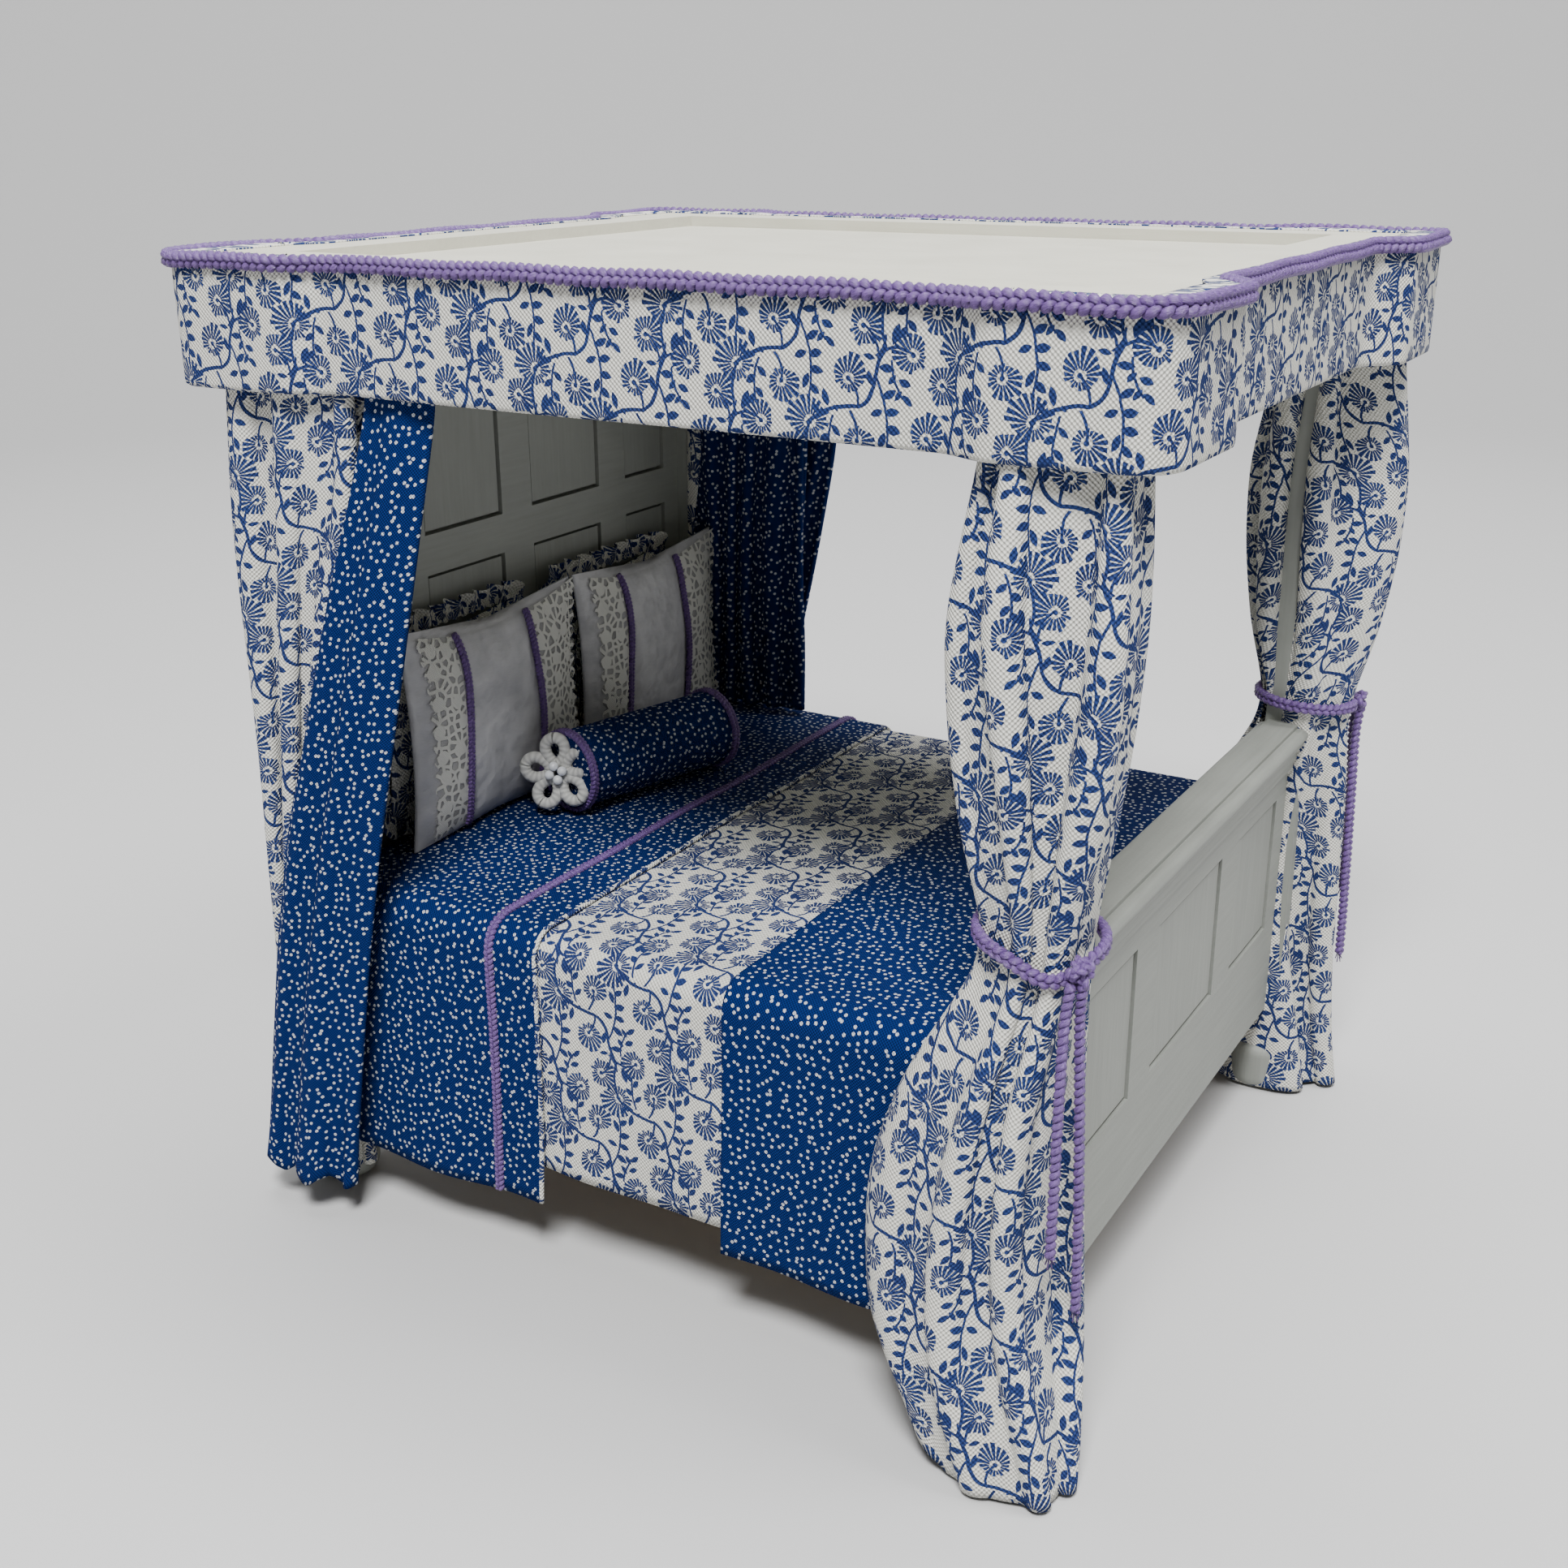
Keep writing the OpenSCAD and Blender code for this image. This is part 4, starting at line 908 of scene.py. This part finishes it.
leanAngle = math.radians(1)
for side in ("left", "right"):
    low, high = boxOf(f"pillow_front_{side}")
    mid = (low + high) / 2
    w, h = high[0] - low[0], (high[2] - low[2]) * 0.995
    t = 7.4
    seed = 41 if side == "left" else 57
    body = f"front_pillow_{side}"
    front, back = pillow(w, h, t, seed)
    place(closedPillow(lean(front, leanAngle, mid), lean(back, leanAngle, mid), Builder()).build(f"satin_pillow_{side}", satin),
          body, [f"pillow_front_{side}"])
    # lace bands over the face: the outer side of each is toothed, and the right one hangs over the edge
    bands = Builder()
    for inner, outer in ((-0.45, -0.80), (0.45, 1.0)):
        v = np.linspace(-0.985, 0.985, 300)[:, None]
        tooth = 0.055 * np.abs(np.sin(v * 23)) ** 0.7 * np.sign(outer)
        u = inner + (outer + tooth - inner) * np.linspace(0, 1, 20)[None]
        u = u[:, ::-1] if outer < 0 else u
        held = np.clip(u, -0.99, 0.99)
        x, z, y = pillowFace(held, v + 0 * u, w, h, t, seed)
        sheet = np.stack([x + (u - held) * w / 2, -y - 0.7, z], -1)
        bands.grid(lean(sheet, leanAngle, mid), np.stack([x + (u - held) * w / 2, z], -1))
    laceBand = bands.build(f"lace_{side}", lace)
    place(laceBand, body, [f"pillow_lace_{side}"])
    strips = Builder()
    for k, u0 in enumerate((-braidAt, braidAt)):
        v = np.linspace(-1.0, 1.0, 90)
        u = u0 + 0.03 * np.sin(v * 3 + k * 2)
        x, z, y = pillowFace(u, v, w, h, t, seed)
        strip = np.stack([x, -y - 0.95, z], -1)
        plait(strips, lean(strip, leanAngle, mid), np.array([1.0, 0, 0]), 1.9, 0.6, 0.42, 0.9, perPeriod=12)
    place(strips.build(f"pillow_plaits_{side}", braid), body, [f"pillow_braid_{side}"])

for side in ("left", "right"):
    low, high = boxOf(f"pillow_back_{side}")
    mid = (low + high) / 2
    mid[2] -= 1.4
    w, h, t = (high[0] - low[0]) * 0.86, (high[2] - low[2]) * 0.80, 4.0
    front, back = pillow(w, h, t, 71 if side == "left" else 77)
    builder = closedPillow(front + mid, back + mid, Builder())
    # frill: a band round the seam that waves more towards its outer edge
    corners = [(-w / 2, -h / 2, 4), (w / 2, -h / 2, 4), (w / 2, h / 2, 4), (-w / 2, h / 2, 4)]
    ring = filleted(corners)
    ring, s = resample(np.vstack([ring, ring[:1]]), 481)
    ring = ring[:-1]
    tang = np.roll(ring, -1, 0) - np.roll(ring, 1, 0)
    tang /= np.linalg.norm(tang, axis=1)[:, None]
    away = np.stack([tang[:, 1], -tang[:, 0]], -1)
    reach = np.array([-0.6, 0.6, 1.8, 3.0, 4.0])[:, None]
    wave = np.clip(reach / 4, 0, 1) * 1.5 * np.sin(s[None, :-1] / s[-1] * 34 * tau + 0.6 * ripple(s[None, :-1] / 8, 0 * reach, 3))
    plane = ring[None] + away[None] * (reach + 0.25 * np.cos(s[None, :-1] * 2))[..., None]
    frill = np.stack([plane[..., 0], wave, plane[..., 1]], -1) + mid
    frillUv = np.stack(np.broadcast_arrays(s[None] * 1.7, reach), -1)
    builder.grid(frill, frillUv, wrap=True)
    made = builder.build(f"frilled_pillow_{side}", floral)
    place(made, f"back_pillow_{side}", [f"pillow_back_{side}"])

# ---- bolster ----
bolsterLow, bolsterHigh = boxOf("bolster")
bolsterMid = (bolsterLow + bolsterHigh) / 2
bolsterTurn = math.radians(-15)
bolsterAxis = np.array([math.cos(bolsterTurn), math.sin(bolsterTurn), 0])
bolsterSide = np.array([-math.sin(bolsterTurn), math.cos(bolsterTurn), 0])
bolsterUp = np.array([0, 0, 1.0])
bolsterHalf, bolsterR = 23.0, (bolsterHigh[2] - bolsterLow[2]) / 2


# Places points given as (along, out to the side, up) from the bolster's middle
def onBolster(along, across, up):
    return bolsterMid + along[..., None] * bolsterAxis + across[..., None] * bolsterSide + up[..., None] * bolsterUp


# Stuffed roll: radius by length, rounded at the ends, with small gathers that fade inwards
def bolsterRoll():
    a = np.linspace(0, tau, 120, endpoint=False)[None]
    end = np.linspace(0, math.pi / 2, 8)
    outL = np.concatenate([[-bolsterHalf, -bolsterHalf], -bolsterHalf + 1.6 * (1 - np.cos(end)),
                           np.linspace(-bolsterHalf + 2.4, bolsterHalf - 2.4, 50),
                           (bolsterHalf - 1.6 * (1 - np.cos(end)))[::-1], [bolsterHalf, bolsterHalf]])
    shoulder = bolsterR - 1.6 + 1.6 * np.sin(end)
    outR = np.concatenate([[0.5, bolsterR - 4], shoulder, np.full(50, bolsterR), shoulder[::-1], [bolsterR - 4, 0.5]])
    outL, outR = outL[:, None], outR[:, None]
    near = np.clip((np.abs(outL) - bolsterHalf + 9) / 9, 0, 1) * np.clip(outR / bolsterR, 0, 1)
    r = outR + near * 0.14 * np.sin(a * 26 + 2 * np.sin(a * 3)) + 0.12 * ripple(outL / 6, a * 3, 4)
    points = onBolster(outL + 0 * a, r * np.cos(a), r * np.sin(a))
    travel = np.concatenate([[0], np.cumsum(np.hypot(np.diff(outL[:, 0]), np.diff(outR[:, 0])))])[:, None]
    uv = np.stack(np.broadcast_arrays(travel, np.linspace(0, tau * bolsterR, 121)[None]), -1)
    return points, uv


roll, rollUv = bolsterRoll()
bolster = Builder().grid(roll, rollUv, wrap=True, caps=True).build("bolster_roll", dotted)
place(bolster, "bolster", ["bolster"])
rings = Builder()
t = np.linspace(0, tau, 100, endpoint=False)
for end in (-1, 1):
    ring = onBolster(0 * t + end * (bolsterHalf - 1.2), (bolsterR + 0.1) * np.cos(t), (bolsterR + 0.1) * np.sin(t))
    plait(rings, ring, bolsterAxis, 2.2, 0.7, 0.52, 1.0, loop=True, perPeriod=12)
place(rings.build("bolster_plaits", braid), "bolster", ["bolster_braid"])

# flower of five looped cords that stands off the near end, turned a little towards the foot and up
flowerOut = -bolsterAxis * 0.82 - bolsterSide * 0.52 + bolsterUp * 0.22
flowerOut /= np.linalg.norm(flowerOut)
flowerAcross = np.cross(bolsterUp, flowerOut)
flowerAcross /= np.linalg.norm(flowerAcross)
flowerRise = np.cross(flowerOut, flowerAcross)
flowerMid = bolsterMid - bolsterAxis * (bolsterHalf + 2.6) - bolsterSide * 0.6 + bolsterUp * 0.6


# Places points given as (across, up, out) from the flower's middle
def onFlower(across, up, out):
    return flowerMid + across[..., None] * flowerAcross + up[..., None] * flowerRise + out[..., None] * flowerOut


petals = Builder()
for k in range(5):
    turn = tau * k / 5 + math.radians(100)
    t = np.linspace(0, tau, 48, endpoint=False)
    out = 5.0 + 2.9 * np.cos(t)
    wide = 2.65 * np.sin(t) * (0.86 + 0.14 * np.cos(t))
    tilt = 0.3 * np.cos(t) - 0.2
    petal = onFlower(out * math.cos(turn) - wide * math.sin(turn), out * math.sin(turn) + wide * math.cos(turn), tilt)
    tube(petals, petal, 1.35, tuple(flowerOut), 10, loop=True)
place(petals.build("cord_flower", whiteCord), "bolster", ["bolster_flower"])

beads = Builder()
a = np.linspace(0, math.pi, 17)[:, None]
b = np.linspace(0, tau, 24, endpoint=False)[None]
for k in range(4):
    turn = tau * k / 4 + 0.35
    r = 1.1
    cx, cy = 1.6 * math.cos(turn), 1.6 * math.sin(turn)
    beads.grid(onFlower(cx + r * np.sin(a) * np.cos(b), cy + r * np.sin(a) * np.sin(b), 1.7 + r * np.cos(a) + 0 * b), wrap=True, closed=True)
place(beads.build("flower_beads", pearl), "bolster", ["bolster_beads"])

# ---- stage and light ----
print("stage: floor and light")
# Round studio: a flat disc that turns up through a quarter circle into a wall
a = np.linspace(0, math.pi / 2, 24)
reach = np.concatenate([[0.001, 1.1], 1.1 + 0.9 * np.sin(a)[1:], [2.0]])[:, None]
rise = np.concatenate([[0, 0], 0.9 - 0.9 * np.cos(a)[1:], [3.2]])[:, None] - 0.0001
t = np.linspace(tau, 0, 96, endpoint=False)[None]
bowl = np.stack(np.broadcast_arrays(reach * np.cos(t), reach * np.sin(t), rise), -1)
floorShade = Shade("pale floor")
floor = Builder().grid(bowl / mm, wrap=True, caps=False).build("floor", floorShade.finish(Base_Color=(0.50, 0.50, 0.50), Roughness=0.95))

world = bpy.data.worlds.new("studio")
world.use_nodes = True
world.node_tree.nodes["Background"].inputs[0].default_value = (0.62, 0.63, 0.65, 1)
world.node_tree.nodes["Background"].inputs[1].default_value = 0.08
bpy.context.scene.world = world


# Square lamp at a place, turned towards its aim
def softbox(name, at, aim, size, power):
    data = bpy.data.lights.new(name, "AREA")
    data.size, data.energy = size, power
    lamp = bpy.data.objects.new(name, data)
    lamp.location = at
    lamp.rotation_mode = "QUATERNION"
    lamp.rotation_quaternion = (Vector(aim) - Vector(at)).to_track_quat("-Z", "Y")
    bpy.context.scene.collection.objects.link(lamp)


softbox("key", (-0.64, -0.27, 1.12), (0, 0, 0.1), 0.36, 29)
softbox("fill", (0.22, -0.72, 1.3), (0, 0, 0.1), 0.45, 11)
softbox("wall wash", (0.3, 0.15, 1.6), (1.3, 0.8, 0.35), 1.0, 34)
